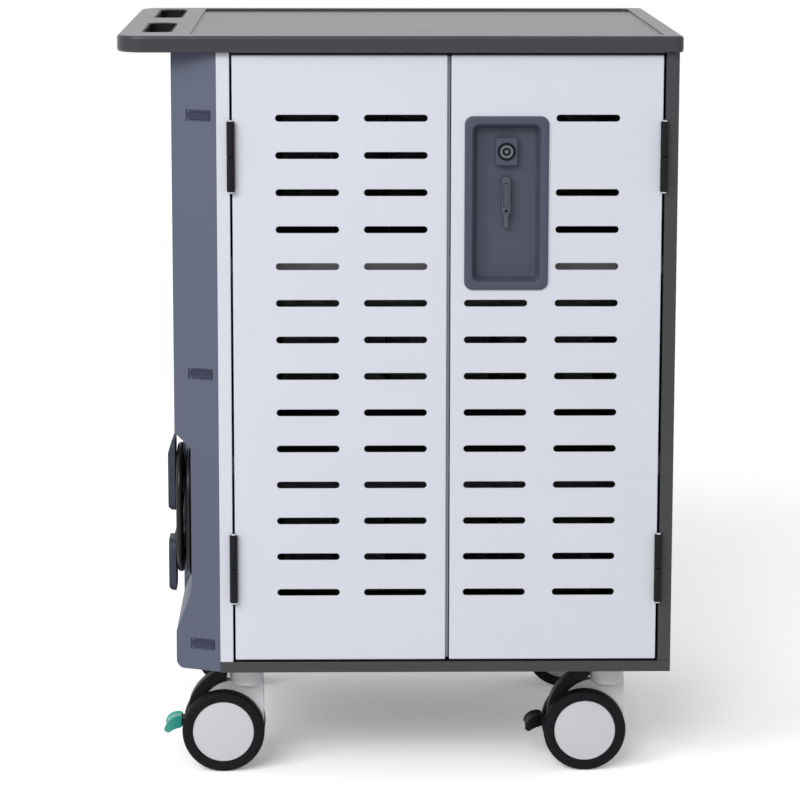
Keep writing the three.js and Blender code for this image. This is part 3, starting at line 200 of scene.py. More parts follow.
def moulded(
    name, colour, roughness, grain=1400, depth=0.00006, drift=0.06, wear=0.14, gloss=0.5, metallic=0.0
):
    """Coloured plastic or paint with a fine grain, a slow drift in its tone and patches worn smoother."""
    finish = Finish(name, {"Specular IOR Level": gloss, "Metallic": metallic})
    cloud = finish.noise(CLOUD_SCALE, 5)
    speck = finish.noise(grain, 2)
    finish.feed("Base Color", finish.mix(cloud, shaded(colour, 1 - drift), shaded(colour, 1 + drift)))
    finish.feed("Roughness", roughness + wear * (cloud - 0.5) + SPECK_WEAR * (speck - 0.5))
    finish.bump(speck, depth)
    return finish


cord_jacket = moulded("cord_jacket", tone(11, 11, 13), 0.36, grain=500, depth=0.00004, gloss=0.3)

route = cord_route()
cord_line = bpy.data.curves.new("wound_cord", "CURVE")
cord_line.dimensions = "3D"
cord_line.bevel_depth = CORD_D / 2
cord_line.bevel_resolution = 4
cord_line.use_fill_caps = True
spline = cord_line.splines.new("POLY")
spline.points.add(len(route) - 1)
for point, spot in zip(spline.points, route):
    point.co = (*spot, 1)
spline.use_smooth = True
cord = bpy.data.objects.new("wound_cord", cord_line)
scene.collection.objects.link(cord)
cord_line.materials.append(cord_jacket.material)
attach(cord, "cabinet")
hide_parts("power_cord")


# The plug is a moulded grip with a ribbed neck and three plated pins, and it hangs from the cord's end.
# The gland is a ribbed strain relief, screwed to the alcove's wall.
SHARP = math.radians(35)
LEAST_R = 0.0002
SAME_SPOT = 1e-7


class Skin:
    """A mesh built from rings of points, given across, up and in depth, and put in place by a function."""

    def __init__(self, place):
        self.bm = bmesh.new()
        self.place = place

    def ring(self, points, depth):
        return [self.bm.verts.new(self.place(u, v, depth)) for u, v in points]

    def wall(self, *rings):
        for near, far in zip(rings, rings[1:]):
            for i in range(len(near)):
                self.bm.faces.new((near[i - 1], near[i], far[i], far[i - 1]))

    def cap(self, *rings):
        """Fills the first ring, with the other rings as holes."""
        flat = [[Vector((v.co @ self.across, v.co @ self.up, 0)) for v in ring] for ring in rings]
        verts = [v for ring in rings for v in ring]
        for corners in tessellate_polygon(flat):
            self.bm.faces.new([verts[i] for i in corners])

    @property
    def across(self):
        return (Vector(self.place(1, 0, 0)) - Vector(self.place(0, 0, 0))).normalized()

    @property
    def up(self):
        return (Vector(self.place(0, 1, 0)) - Vector(self.place(0, 0, 0))).normalized()


def rounded(us, vs, radius, grow=0.0, steps=6):
    """A rounded rectangle, widened by grow on each side, with one radius or four from the lower left."""
    (u0, u1), (v0, v1) = us, vs
    radii = radius if isinstance(radius, (list, tuple)) else [radius] * 4
    radii = [max(r + grow, LEAST_R) for r in radii]
    u0, u1, v0, v1 = u0 - grow, u1 + grow, v0 - grow, v1 + grow
    a, b, c, d = radii
    middles = [(u1 - b, v0 + b, b), (u1 - c, v1 - c, c), (u0 + d, v1 - d, d), (u0 + a, v0 + a, a)]
    points = []
    for corner, (u, v, r) in enumerate(middles):
        for step in range(steps + 1):
            angle = math.pi / 2 * (corner - 1 + step / steps)
            spot = (u + r * math.cos(angle), v + r * math.sin(angle))
            if not points or math.dist(spot, points[-1]) > SAME_SPOT:
                points.append(spot)
    if math.dist(points[0], points[-1]) < SAME_SPOT:
        points.pop()
    return points


def circle(u, v, radius, steps=8):
    return rounded((u - radius, u + radius), (v - radius, v + radius), radius, 0, steps)


def show(name, bm, finish, body, slot, *nodes):
    """Puts a finished mesh in the scene, on its body, in place of the nodes it stands for."""
    bmesh.ops.recalc_face_normals(bm, faces=bm.faces)
    mesh = bpy.data.meshes.new(name)
    bm.to_mesh(mesh)
    bm.free()
    mesh.shade_smooth()
    mesh.set_sharp_from_angle(angle=SHARP)
    mesh.materials.append(finish.material)
    piece = bpy.data.objects.new(name, mesh)
    scene.collection.objects.link(piece)
    piece.modifiers.new("even_normals", "WEIGHTED_NORMAL").keep_sharp = True
    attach(piece, body)
    if nodes:
        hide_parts(*nodes)
    return piece


def lathe(place, profile, steps=48):
    """A closed turned shape: profile is a closed line of (radius, depth)."""
    skin = Skin(place)
    turns = [(math.cos(2 * math.pi * k / steps), math.sin(2 * math.pi * k / steps)) for k in range(steps)]
    rings = [skin.ring([(r * u, r * v) for u, v in turns], depth) for r, depth in profile if r > 0]
    skin.wall(*rings)
    if profile[0][0] == 0:
        skin.cap(rings[0])
        skin.cap(rings[-1])
    else:
        skin.wall(rings[-1], rings[0])
    return skin.bm


def cushion_box(bm, lo, hi, radius, steps=3):
    """Adds a box with rounded edges to a mesh."""
    made = bmesh.ops.create_cube(bm, size=1)["verts"]
    lo, hi = Vector(lo), Vector(hi)
    for vert in made:
        vert.co = [lo[k] + (vert.co[k] + 0.5) * (hi[k] - lo[k]) for k in range(3)]
    edges = list({edge for vert in made for edge in vert.link_edges})
    bmesh.ops.bevel(bm, geom=edges, offset=radius, segments=steps, profile=0.5, affect="EDGES")


black_plastic = moulded("black_plastic", tone(11, 11, 14), 0.5, gloss=0.16)
bright_metal = moulded("bright_metal", tone(196, 198, 202), 0.28, grain=700, depth=0.00002, metallic=1)

plug_lo, plug_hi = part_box("power_plug")
PIN_L = 0.017
PIN_HALF = Vector((0.0022, 0.0008, 0))
PIN_SPOTS = [(-0.0045, -0.006), (-0.0045, 0.006), (0.0045, 0)]
NECK_L = 0.024
NECK_FROM, NECK_SPAN = 0.06, 0.9
NECK_ROOT_R, NECK_TAPER, NECK_LEAST_R = 0.0074, 0.0018, 0.0053
NECK_RIBS = 6
RIB_DIP = 0.0009
SQUIRCLE = 0.6
plug_x, plug_y = route[-1].x, route[-1].y
plug = Skin(lambda u, v, d: (plug_x + u, plug_y + v, plug_lo.z + d))
plug_rings = []
GRIP_TOP = plug_hi.z - plug_lo.z - NECK_L
for depth, half_u, half_v in [
    (PIN_L, 0.009, 0.011), (PIN_L + 0.002, 0.011, 0.013), (GRIP_TOP - 0.013, 0.011, 0.013),
    (GRIP_TOP - 0.004, 0.0095, 0.0105), (GRIP_TOP, 0.0076, 0.0076),
]:
    outline = rounded((-half_u, half_u), (-half_v, half_v), min(half_u, half_v) * SQUIRCLE)
    plug_rings.append(plug.ring(outline, depth))
for rib in range(NECK_RIBS):
    share = rib / (NECK_RIBS - 1)
    radius = NECK_ROOT_R - NECK_TAPER * share
    start = GRIP_TOP + NECK_L * (NECK_FROM + NECK_SPAN * rib / NECK_RIBS)
    for lift, by in [(0, RIB_DIP), (RIB_DIP, 0), (0.0023, 0), (0.003, RIB_DIP)]:
        half = max(radius - by, NECK_LEAST_R)
        plug_rings.append(plug.ring(rounded((-half, half), (-half, half), half * SQUIRCLE), start + lift))
plug.wall(*plug_rings)
plug.cap(plug_rings[0])
plug.cap(plug_rings[-1])
plug_grip = show("plug_grip", plug.bm, black_plastic, "cabinet", "black_plastic", "power_plug")
plug_pins = bmesh.new()
for x, y in PIN_SPOTS:
    middle = Vector((plug_x + x, plug_y + y, plug_lo.z))
    cushion_box(plug_pins, middle - PIN_HALF, middle + PIN_HALF + Vector((0, 0, PIN_L + 0.001)), 0.0005, 2)
pins = show("plug_pins", plug_pins, bright_metal, "cabinet", "bright_metal")

gland_lo, gland_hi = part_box("cord_gland")
GLAND_NOSE = 0.024
GLAND_TIP_R, GLAND_SWELL, GLAND_LEAST_R = 0.0058, 0.0016, 0.0052
gland = Skin(lambda u, v, d: (CORD_X + u, gland_lo.y + d, route[0].z + v))
gland_rings = []
for rib in range(NECK_RIBS):
    radius = GLAND_TIP_R + GLAND_SWELL * rib / (NECK_RIBS - 1)
    start = GLAND_NOSE * rib / NECK_RIBS
    for along, by in [(0.0002, RIB_DIP), (0.001, 0), (0.0026, 0), (0.0034, RIB_DIP)]:
        half = max(radius - by, GLAND_LEAST_R)
        spots = [(min(u, gland_hi.x - CORD_X), v) for u, v in circle(0, 0, half)]
        gland_rings.append(gland.ring(spots, start + along))
gland.wall(*gland_rings)
gland.cap(gland_rings[0])
gland.cap(gland_rings[-1])
cushion_box(
    gland.bm,
    (CORD_X - CORD_D, gland_lo.y + GLAND_NOSE, route[0].z - CORD_D / 2),
    (gland_hi.x, gland_hi.y, route[0].z + CORD_D), 0.002,
)
strain_relief = show("strain_relief", gland.bm, black_plastic, "cabinet", "black_plastic", "cord_gland")


# The cabinet is folded from powder-coated steel: a dark base pan and roof, a white left wall and a dark
# right one, each wall folded into posts at the front and at the rear.
def powder(name, colour, roughness):
    return moulded(name, colour, roughness, grain=900, depth=0.00005, drift=0.03)


white_steel = powder("white_steel", tone(217, 219, 230), 0.42)
dark_steel = powder("dark_steel", tone(46, 46, 50), 0.46)


def dress(node, finish, width, steps=2):
    """Gives a CAD node its finish, and eased edges of that width."""
    piece = frame["nodes"][node]
    piece.data.materials.clear()
    piece.data.materials.append(finish.material)
    piece.modifiers.new("weld", "WELD").merge_threshold = 0.00001
    if width:
        eased = piece.modifiers.new("eased_edges", "BEVEL")
        eased.width = width
        eased.segments = steps
        eased.limit_method = "ANGLE"
        eased.angle_limit = SHARP
        eased.use_clamp_overlap = True
        eased.harden_normals = False
    piece.modifiers.new("even_normals", "WEIGHTED_NORMAL").keep_sharp = True
    return piece


FOLD = 0.0007
dress("base_pan", dark_steel, FOLD)
dress("left_side_wall", white_steel, FOLD)
dress("right_side_wall", dark_steel, FOLD)
dress("roof_panel", dark_steel, 0)
# The shelves are the same white steel as the doors, given a lighter tone: painted light that offsets the
# shade they sit in behind the doors.
shelf_steel = powder("shelf_steel", tone(243, 244, 249), 0.42)
dress("middle_shelf", shelf_steel, FOLD)
dress("upper_shelf", shelf_steel, FOLD)
dress("power_bay_wall", white_steel, 0)


# Each tier has a moulded comb that keeps the laptops apart, and behind the bay wall an outlet strip.
# A timer box switches the strips in turn.
housing_plastic = moulded("housing_plastic", tone(90, 96, 114), 0.5, grain=1200, depth=0.00008, gloss=0.3)
outlet_face = moulded("outlet_face", tone(46, 46, 50), 0.42)
rack_plastic = moulded("rack_plastic", tone(27, 27, 31), 0.5, gloss=0.25)
OUTLETS = 8
OUTLET_W = 0.030
OUTLET_H = 0.024
OUTLET_SUNK, OUTLET_PROUD, OUTLET_EASE = 0.002, 0.0022, 0.0006
BLADE_XS, BLADE_ZS = (0.0055, 0.0075), (-0.001, 0.007)
EARTH_HALF, EARTH_ZS = 0.0025, (-0.0085, -0.0035)
HOLE_R = 0.0009
RACK_EASE = 0.0008
for tier in ("bottom", "middle", "upper"):
    dress(f"{tier}_slot_rack", rack_plastic, RACK_EASE)
    dress(f"{tier}_outlet_strip", rack_plastic, RACK_EASE)
    strip_lo, strip_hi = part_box(f"{tier}_outlet_strip")
    pitch = (strip_hi.x - strip_lo.x) / OUTLETS
    strip_z = (strip_lo.z + strip_hi.z) / 2
    faces = Skin(lambda u, v, d: (u, strip_hi.y - OUTLET_SUNK + d, strip_z + v))
    for k in range(OUTLETS):
        x = strip_lo.x + (k + 0.5) * pitch
        ring = lambda grow, d: faces.ring(
            rounded((x - OUTLET_W / 2, x + OUTLET_W / 2), (-OUTLET_H / 2, OUTLET_H / 2), 0.003, grow, 4), d)
        near, far = BLADE_XS
        holes = [((x - far, x - near), BLADE_ZS), ((x + near, x + far), BLADE_ZS),
                 ((x - EARTH_HALF, x + EARTH_HALF), EARTH_ZS)]
        mouths = [faces.ring(rounded(us, vs, HOLE_R, 0, 3), OUTLET_PROUD) for us, vs in holes]
        floors = [faces.ring(rounded(us, vs, HOLE_R, 0, 3), -0.004) for us, vs in holes]
        back, edge = ring(OUTLET_EASE, -0.006), ring(OUTLET_EASE, OUTLET_PROUD - OUTLET_EASE)
        brim = ring(0, OUTLET_PROUD)
        faces.wall(back, edge, brim)
        faces.cap(brim, *mouths)
        faces.cap(back)
        for mouth, floor in zip(mouths, floors):
            faces.wall(mouth, floor)
            faces.cap(floor)
    show(f"{tier}_outlets", faces.bm, outlet_face, "cabinet", "black_plastic")
dress("charge_timer", housing_plastic, 0.002, 3)
dress("timer_rocker", black_plastic, RACK_EASE)


# The doors are folded sheet pans with rows of punched, round-ended slots; the right one has a window for
# its lock pan, the rear one a bore for its key cylinder. A grey strip on the left one closes their gap.
SHEET = 0.002
DOOR_T = 0.020
SLOT_SHARE = 0.296
SLOT_H = 0.010
SLOT_PITCH = 0.054
SLOT_TOP = 0.091
SLOT_ROWS = 14
PUNCH_EASE = 0.0006
DOOR_R = 0.0018
LOCK_R = 0.0125
RUN = 0.0005
ROUND = 0.29
LEFT_COLUMNS, RIGHT_COLUMNS, REAR_COLUMNS = (0.349, 0.761), (0.215, 0.646), (0.237, 0.5, 0.763)


def door(name, body, face, inward, holes, finish):
    """A pan with a face at y and its edges folded inwards; each hole is a function of its growth."""
    lo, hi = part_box(body)
    skin = Skin(lambda u, v, d: (u, face + inward * d, v))
    edge = lambda grow, d: skin.ring(rounded((lo.x, hi.x), (lo.z, hi.z), DOOR_R, grow), d)
    fold = [edge(-DOOR_R, 0), edge(-DOOR_R * ROUND, DOOR_R * ROUND), edge(0, DOOR_R), edge(0, DOOR_T - FOLD)]
    fold += [edge(-FOLD, DOOR_T), edge(-SHEET, DOOR_T), edge(-SHEET, SHEET)]
    skin.wall(*fold)
    punched = [[skin.ring(hole(PUNCH_EASE), 0), skin.ring(hole(0), PUNCH_EASE), skin.ring(hole(0), SHEET)]
               for hole in holes]
    for rings in punched:
        skin.wall(*rings)
    skin.cap(fold[0], *[rings[0] for rings in punched])
    skin.cap(fold[-1], *[rings[-1] for rings in punched])
    return show(name, skin.bm, finish, body, "white_steel", body)


def slot_at(x, z, length):
    half = SLOT_H / 2
    return lambda grow: rounded((x - length / 2, x + length / 2), (z - half, z + half), half, grow)


left_lo, left_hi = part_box("left_door")
right_lo, right_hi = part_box("right_door")
rear_lo, rear_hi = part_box("rear_door")
slot_length = SLOT_SHARE * (left_hi.x - left_lo.x)
rows = [left_hi.z - SLOT_TOP - row * SLOT_PITCH for row in range(SLOT_ROWS)]
left_slots = [slot_at(left_lo.x + share * (left_hi.x - left_lo.x), z, slot_length)
              for share in LEFT_COLUMNS for z in rows]
door("left_door_pan", "left_door", left_lo.y, 1, left_slots, white_steel)

pan_lo, pan_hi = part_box("lock_pan")
PAN_RIM = 0.013
PAN_R = 0.011
SEAT = 0.0003
inner_x = right_lo.x + RIGHT_COLUMNS[0] * (right_hi.x - right_lo.x)
outer_x = right_lo.x + RIGHT_COLUMNS[1] * (right_hi.x - right_lo.x)
BARE_ROW = 1
right_slots = [slot_at(inner_x, z, slot_length) for z in rows if z + SLOT_H < pan_lo.z]
right_slots += [slot_at(outer_x, z, slot_length) for row, z in enumerate(rows) if row != BARE_ROW]
pan_window = lambda grow: rounded(
    (pan_lo.x + PAN_RIM / 2, pan_hi.x - PAN_RIM / 2), (pan_lo.z + PAN_RIM / 2, pan_hi.z - PAN_RIM / 2),
    PAN_R, SEAT + grow)
door("right_door_pan", "right_door", right_lo.y, 1, right_slots + [pan_window], white_steel)

edge_rubber = moulded("edge_rubber", tone(150, 152, 163), 0.6)
EDGE_DEPTH, EDGE_T, EDGE_GAP = 0.008, 0.003, 0.0014
edge_strip = bmesh.new()
cushion_box(
    edge_strip,
    (left_hi.x - SHEET / 2, left_lo.y + EDGE_DEPTH, left_lo.z + SHEET),
    (right_lo.x - EDGE_GAP, left_lo.y + EDGE_DEPTH + EDGE_T, left_hi.z - SHEET), 0.0005, 2,
)
show("left_door_edge_strip", edge_strip, edge_rubber, "left_door", "white_steel")

rear_lock_lo, rear_lock_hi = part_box("rear_key_cylinder")
rear_lock_x = (rear_lock_lo.x + rear_lock_hi.x) / 2
rear_lock_z = (rear_lo.z + rear_hi.z) / 2
rear_slots = [slot_at(rear_lo.x + share * (rear_hi.x - rear_lo.x), z, slot_length)
              for share in REAR_COLUMNS for z in rows[::2]]
rear_bore = lambda grow: circle(rear_lock_x, rear_lock_z, LOCK_R + RUN + grow)
door("rear_door_pan", "rear_door", rear_hi.y, -1, rear_slots + [rear_bore], white_steel)


# The hinges are lift-off hinges of black painted steel: a turned knuckle welded to a leaf, the lower half
# on the post with the pin, the upper half on the door. Plated pin heads show at both ends.
black_metal = moulded("black_metal", tone(9, 10, 14), 0.42, grain=900, depth=0.00004, gloss=0.18)
KNUCKLE_R = 0.006
KNUCKLE_CHAMFER = 0.0009
LEAF_OUT, LEAF_T, LEAF_R = 0.00145, 0.0016, 0.0006
PIN_HEAD_R, PIN_HEAD_T = 0.0038, 0.0022
axes = {joint["name"]: joint["pos_m"][:2] for joint in frame["joints"]}
for side in ("left", "right", "rear"):
    axis_x, axis_y = axes[f"{side}_door_swing"]
    inward = 1 if axis_y < 0 else -1
    for level in ("upper", "lower"):
        for half in ("post", "door"):
            node = f"{side}_{level}_hinge_{half}_half"
            lo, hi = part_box(node)
            bottom = lo.z
            top = hi.z if half == "door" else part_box(f"{side}_{level}_hinge_door_half")[0].z - SEAT
            end_r = KNUCKLE_R - KNUCKLE_CHAMFER
            profile = [(0, bottom), (end_r, bottom), (KNUCKLE_R, bottom + KNUCKLE_CHAMFER),
                       (KNUCKLE_R, top - KNUCKLE_CHAMFER), (end_r, top), (0, top)]
            knuckle = lathe(lambda u, v, d: (axis_x + u, axis_y + v, d), profile, 32)
            hand = 1 if (half == "door") == (side == "left") else -1
            leaf_xs = sorted((axis_x + hand * LEAF_OUT, axis_x + hand * (LEAF_OUT - LEAF_T)))
            leaf_ys = sorted((axis_y, hi.y if inward > 0 else lo.y))
            cushion_box(knuckle, (leaf_xs[0], leaf_ys[0], bottom), (leaf_xs[1], leaf_ys[1], top), LEAF_R, 2)
            body = "cabinet" if half == "post" else f"{side}_door"
            show(f"{side}_{level}_{half}_knuckle", knuckle, black_metal, body, "black_metal", node)
            end, out = (top, 1) if half == "door" else (bottom, -1)
            head = [(0, -PIN_HEAD_T), (PIN_HEAD_R, -PIN_HEAD_T), (PIN_HEAD_R, PIN_HEAD_T * 0.6),
                    (PIN_HEAD_R * 0.8, PIN_HEAD_T), (0, PIN_HEAD_T)]
            pin_head = lathe(lambda u, v, d: (axis_x + u, axis_y + v, end + out * d), head, 24)
            show(f"{side}_{level}_{half}_pin_head", pin_head, bright_metal, body, "bright_metal")


# The lock pan is a moulded dish in the right door. It has a rounded rim that stands proud of the sheet,
# sloped walls and a square boss round the key cylinder.
pan_plastic = moulded("pan_plastic", tone(73, 76, 93), 0.46, grain=1200, depth=0.00008, gloss=0.3)
PAN_LIP = 0.0115
PAN_SLOPE = 0.0065
PAN_PROUD = 0.004
PAN_WALL = 0.0025
BOSS_W, BOSS_H, BOSS_T = 0.032, 0.040, 0.012
BOSS_R, BOSS_ROOT = 0.003, -0.0005
pan = Skin(lambda u, v, d: (u, pan_lo.y + d, v))
pan_depth = pan_hi.y - pan_lo.y - PAN_WALL
pan_ring = lambda inset, d, r: pan.ring(
    rounded((pan_lo.x + inset, pan_hi.x - inset), (pan_lo.z + inset, pan_hi.z - inset), r, 0, 8), d)
pan_rings = [
    pan_ring(PAN_LIP + PAN_SLOPE + 0.0015, pan_depth, 0.006),
    pan_ring(PAN_LIP + PAN_SLOPE + 0.0004, pan_depth - 0.0006, 0.0068),
    pan_ring(PAN_LIP + PAN_SLOPE * 0.9, pan_depth - 0.0025, 0.0075),
    pan_ring(PAN_LIP + 0.0012, 0.003, 0.0085),
    pan_ring(PAN_LIP + 0.0004, 0.0012, 0.009),
    pan_ring(PAN_LIP - 0.0008, 0.0003, 0.0098),
    pan_ring(PAN_LIP - 0.002, 0, 0.0105),
    pan_ring(0.0032, 0, 0.011),
    pan_ring(0.0016, 0.0004, 0.0115),
    pan_ring(0.0005, 0.0014, 0.012),
    pan_ring(0, 0.003, 0.012),
    pan_ring(0, PAN_PROUD, 0.012),
    pan_ring(PAN_RIM / 2, PAN_PROUD, PAN_R - SEAT),
    pan_ring(PAN_RIM / 2, pan_hi.y - pan_lo.y, PAN_R - SEAT),
]
pan.wall(*pan_rings)
pan.cap(pan_rings[0])
pan.cap(pan_rings[-1])
show("lock_dish", pan.bm, pan_plastic, "right_door", "pan_plastic", "lock_pan")
key_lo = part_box("key_cylinder")[0]
key_x = (pan_lo.x + pan_hi.x) / 2
key_z = key_lo.z + LOCK_R * math.cos(math.pi / 16)
boss_y = pan_lo.y + pan_depth
boss = Skin(lambda u, v, d: (key_x + u, boss_y - d, key_z + v))
boss_ring = lambda grow, d: boss.ring(
    rounded((-BOSS_W / 2, BOSS_W / 2), (-BOSS_H / 2, BOSS_H / 2), BOSS_R, grow, 4), d)
boss_bore = [boss.ring(circle(0, 0, LOCK_R + RUN, 10), d) for d in (BOSS_T, BOSS_ROOT)]
boss_rings = [boss_ring(0, BOSS_ROOT), boss_ring(0, BOSS_T - 0.0012), boss_ring(-0.0004, BOSS_T - 0.0003),
              boss_ring(-0.0013, BOSS_T)]
boss.wall(*boss_rings)
boss.cap(boss_rings[-1], boss_bore[0])
boss.wall(*boss_bore)
boss.cap(boss_rings[0], boss_bore[1])
show("lock_boss", boss.bm, pan_plastic, "right_door", "pan_plastic")


# Each key cylinder is a black barrel for a tubular key: a plated ring and a centre post stand in its cupped
# face, and a tab turns behind the sheet.
lock_metal = moulded("lock_metal", tone(104, 106, 117), 0.36, grain=700, depth=0.00002, metallic=1)
CUP_R, RING_R, POST_R = LOCK_R * 0.79, LOCK_R * 0.47, LOCK_R * 0.25
CUP_DEPTH = 0.0045
LOCK_EASE = 0.0004
LOCK_SKIM = 0.0001
HEAD_EASE = 0.001
RING_SUNK = 0.0006
TAB_HALF = 0.0075


def key_cylinder(name, body, node, x, z, front, inward, head):
    """front is the cylinder's outer face; head is (radius, length) of the collar there."""
    lo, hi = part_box(node)
    back = hi.y if inward > 0 else lo.y
    place = lambda u, v, d: (x + u, front + inward * d, z + v)
    head_r, head_l = head
    length = abs(back - front)
    barrel = lathe(place, [
        (0, CUP_DEPTH), (CUP_R, CUP_DEPTH), (CUP_R, LOCK_EASE), (CUP_R + LOCK_EASE, 0),
        (head_r - HEAD_EASE, 0), (head_r, HEAD_EASE), (head_r, head_l), (LOCK_R, head_l + LOCK_SKIM),
        (LOCK_R, length), (0, length),
    ])
    tab_ys = sorted((back, back - inward * SHEET))
    cushion_box(barrel, (x - TAB_HALF, tab_ys[0], z), (x + TAB_HALF, tab_ys[1], hi.z), 0.0005, 2)
    show(f"{name}_barrel", barrel, black_metal, body, "bright_metal", node)
    outer_r, floor, top = CUP_R - LOCK_SKIM, CUP_DEPTH - LOCK_SKIM, RING_SUNK
    ring = lathe(place, [
        (RING_R, floor), (RING_R, top + LOCK_EASE), (RING_R + LOCK_EASE, top), (outer_r - LOCK_EASE, top),
        (outer_r, top + LOCK_EASE), (outer_r, floor),
    ])
    show(f"{name}_ring", ring, lock_metal, body, "bright_metal")
    post = [(0, floor), (POST_R, floor), (POST_R, top + 2 * LOCK_EASE), (POST_R - LOCK_EASE, top + LOCK_EASE),
            (0, top + LOCK_EASE)]
    show(f"{name}_post", lathe(place, post), lock_metal, body, "bright_metal")


key_cylinder("front_key", "key", "key_cylinder", key_x, key_z, key_lo.y, 1, (LOCK_R, 0.004))
key_cylinder("rear_key", "rear_key", "rear_key_cylinder", rear_lock_x, rear_lock_z, rear_lock_hi.y, -1,
             (LOCK_R + 0.003, 0.0037))


# The latch lever is a grey painted casting with a padlock eye; its black cam turns behind the upper shelf's
# strike.
lever_metal = moulded("lever_metal", tone(68, 71, 82), 0.34, grain=900, depth=0.00004)
lever_lo, lever_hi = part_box("latch_handle")
latch_z = (lever_lo.z + lever_hi.z) / 2
LEVER_W, LEVER_WAIST, LEVER_T, LEVER_EASE, LEVER_BACK_EASE = 0.013, 0.0072, 0.011, 0.0012, 0.0006
PADLOCK_Z, PADLOCK_R = -0.0125, 0.0022
THUMB_HALF, THUMB_ZS, THUMB_R = 0.0046, (-0.008, 0.029), 0.003
SPINDLE_R = 0.005
LEVER_UP = (lever_hi.z - lever_lo.z) / 2


def lever_outline(grow):
    half, waist = LEVER_W / 2 + grow, LEVER_WAIST / 2 + grow
    end = LEVER_UP + grow
    right = [(waist * 0.5, -end), (waist * 0.86, 0.0009 - end), (waist, 0.0026 - end), (waist, -0.020),
             (waist + 0.0009, -0.0175), (half - 0.0006, -0.0142), (half, -0.012), (half, end - 0.003),
             (half - 0.001, end - 0.001), (half - 0.003, end)]
    return right + [(-u, v) for u, v in reversed(right)]


latch_place = lambda u, v, d: (key_x + u, lever_lo.y + d, latch_z + v)
lever = Skin(latch_place)
lever_rings = [lever.ring(lever_outline(-grow), d) for grow, d in [
    (LEVER_EASE, 0), (LEVER_EASE * ROUND, LEVER_EASE * ROUND), (0, LEVER_EASE),
    (0, LEVER_T - LEVER_BACK_EASE), (LEVER_BACK_EASE, LEVER_T)]]
eye = [lever.ring(circle(0, PADLOCK_Z, PADLOCK_R, 5), d) for d in (0, LEVER_T)]
thumb_ring = lambda grow, d: lever.ring(rounded((-THUMB_HALF, THUMB_HALF), THUMB_ZS, THUMB_R, grow, 5), d)
thumb = [thumb_ring(0, 0), thumb_ring(-0.0006, 0.0008), thumb_ring(-0.0014, 0.0018)]
lever.wall(*lever_rings)
lever.wall(*eye)
lever.wall(*thumb)
lever.cap(lever_rings[0], eye[0], thumb[0])
lever.cap(lever_rings[-1], eye[1])
lever.cap(thumb[-1])
show("latch_lever", lever.bm, lever_metal, "latch", "black_metal", "latch_handle")
spindle_from, spindle_to = LEVER_T - 0.001, lever_hi.y - lever_lo.y
spindle = [(0, spindle_from), (SPINDLE_R, spindle_from), (SPINDLE_R, spindle_to), (0, spindle_to)]
show("latch_spindle", lathe(latch_place, spindle, 24), lever_metal, "latch", "black_metal")
dress("latch_cam", black_metal, LEVER_BACK_EASE)


# The side housing is a moulded shell along the left wall, with clip recesses in its front face and an alcove
# where the cord hangs on two hooks.
dress("side_housing", housing_plastic, 0.0016, 3)
hook_plastic = moulded("hook_plastic", tone(58, 60, 74), 0.5, grain=1200, depth=0.00008, gloss=0.3)
dress("upper_cord_hook", hook_plastic, 0.0014, 3)
dress("lower_cord_hook", hook_plastic, 0.0014, 3)
housing_lo, housing_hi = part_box("side_housing")
HOUSING_FALL = 0.027
HOUSING_SLANT = math.atan2(HOUSING_FALL, housing_hi.x - housing_lo.x)
# The clips' dark tone is painted shade: darker than the housing's plastic, it stands in for the shade in the
# clip recesses.
clip_plastic = moulded("clip_plastic", tone(50, 54, 74), 0.5, gloss=0.25)
CLIP_X, CLIP_L, CLIP_H = 0.026, 0.036, 0.013
CLIP_CORNERS = (0.005, 0.001, 0.001, 0.005)
CLIP_FALLS = (0.092, 0.471, 0.878)
clip_y = housing_lo.y + CLIP_X * math.tan(HOUSING_SLANT)
along, deep = math.cos(HOUSING_SLANT), math.sin(HOUSING_SLANT)
for number, fall in enumerate(CLIP_FALLS):
    clip = Skin(lambda u, v, d: (
        housing_hi.x - CLIP_X + along * u + deep * d, clip_y - deep * u + along * d, housing_hi.z - fall + v))
    clip_ring = lambda grow, d: clip.ring(
        rounded((-CLIP_L / 2, CLIP_L / 2), (-CLIP_H / 2, CLIP_H / 2), CLIP_CORNERS, grow, 5), d)
    clip_rings = [clip_ring(*ring) for ring in ((0, 0.0023), (0, 0.0014), (-0.001, 0.0008), (-0.003, 0.0019))]
    clip.wall(*clip_rings)
    clip.cap(clip_rings[0])
    clip.cap(clip_rings[-1])
    show(f"housing_clip_{number + 1}", clip.bm, clip_plastic, "cabinet", "housing_plastic")


# The top is one grey moulding: a raised rim round a flat field, and an overhang with two hand slots at the
# left, which is the push handle.
grey_moulding = moulded("grey_moulding", tone(40, 40, 49), 0.31, grain=1500, depth=0.00004, wear=0.04)
top_lo, top_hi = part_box("worksurface")
TOP_EASE = 0.004
TOP_R_HANDLE = 0.040
TOP_R_RIGHT = 0.012
HAND_INSET, HAND_W, HAND_L = 0.032, 0.043, 0.210
HAND_MIDDLES = (-0.145, 0.185)
RIM_W = 0.025
RECESS = 0.004
slab = Skin(lambda u, v, d: (u, v, top_lo.z + d))
slab_t = top_hi.z - top_lo.z
curve = [(TOP_EASE * (1 - math.sin(a)), TOP_EASE * (1 - math.cos(a)))
         for a in (0, math.pi / 8, math.pi / 4, 3 * math.pi / 8, math.pi / 2)]
levels = curve + [(inset, slab_t - d) for inset, d in reversed(curve)]
corners = (TOP_R_HANDLE, TOP_R_RIGHT, TOP_R_RIGHT, TOP_R_HANDLE)
slab_rings = [slab.ring(rounded((top_lo.x, top_hi.x), (top_lo.y, top_hi.y), corners, -inset, 10), d)
              for inset, d in levels]
hand_x = top_lo.x + HAND_INSET


def hand_line(y, grow):
    return rounded((hand_x, hand_x + HAND_W), (y - HAND_L / 2, y + HAND_L / 2), HAND_W / 3, grow, 8)


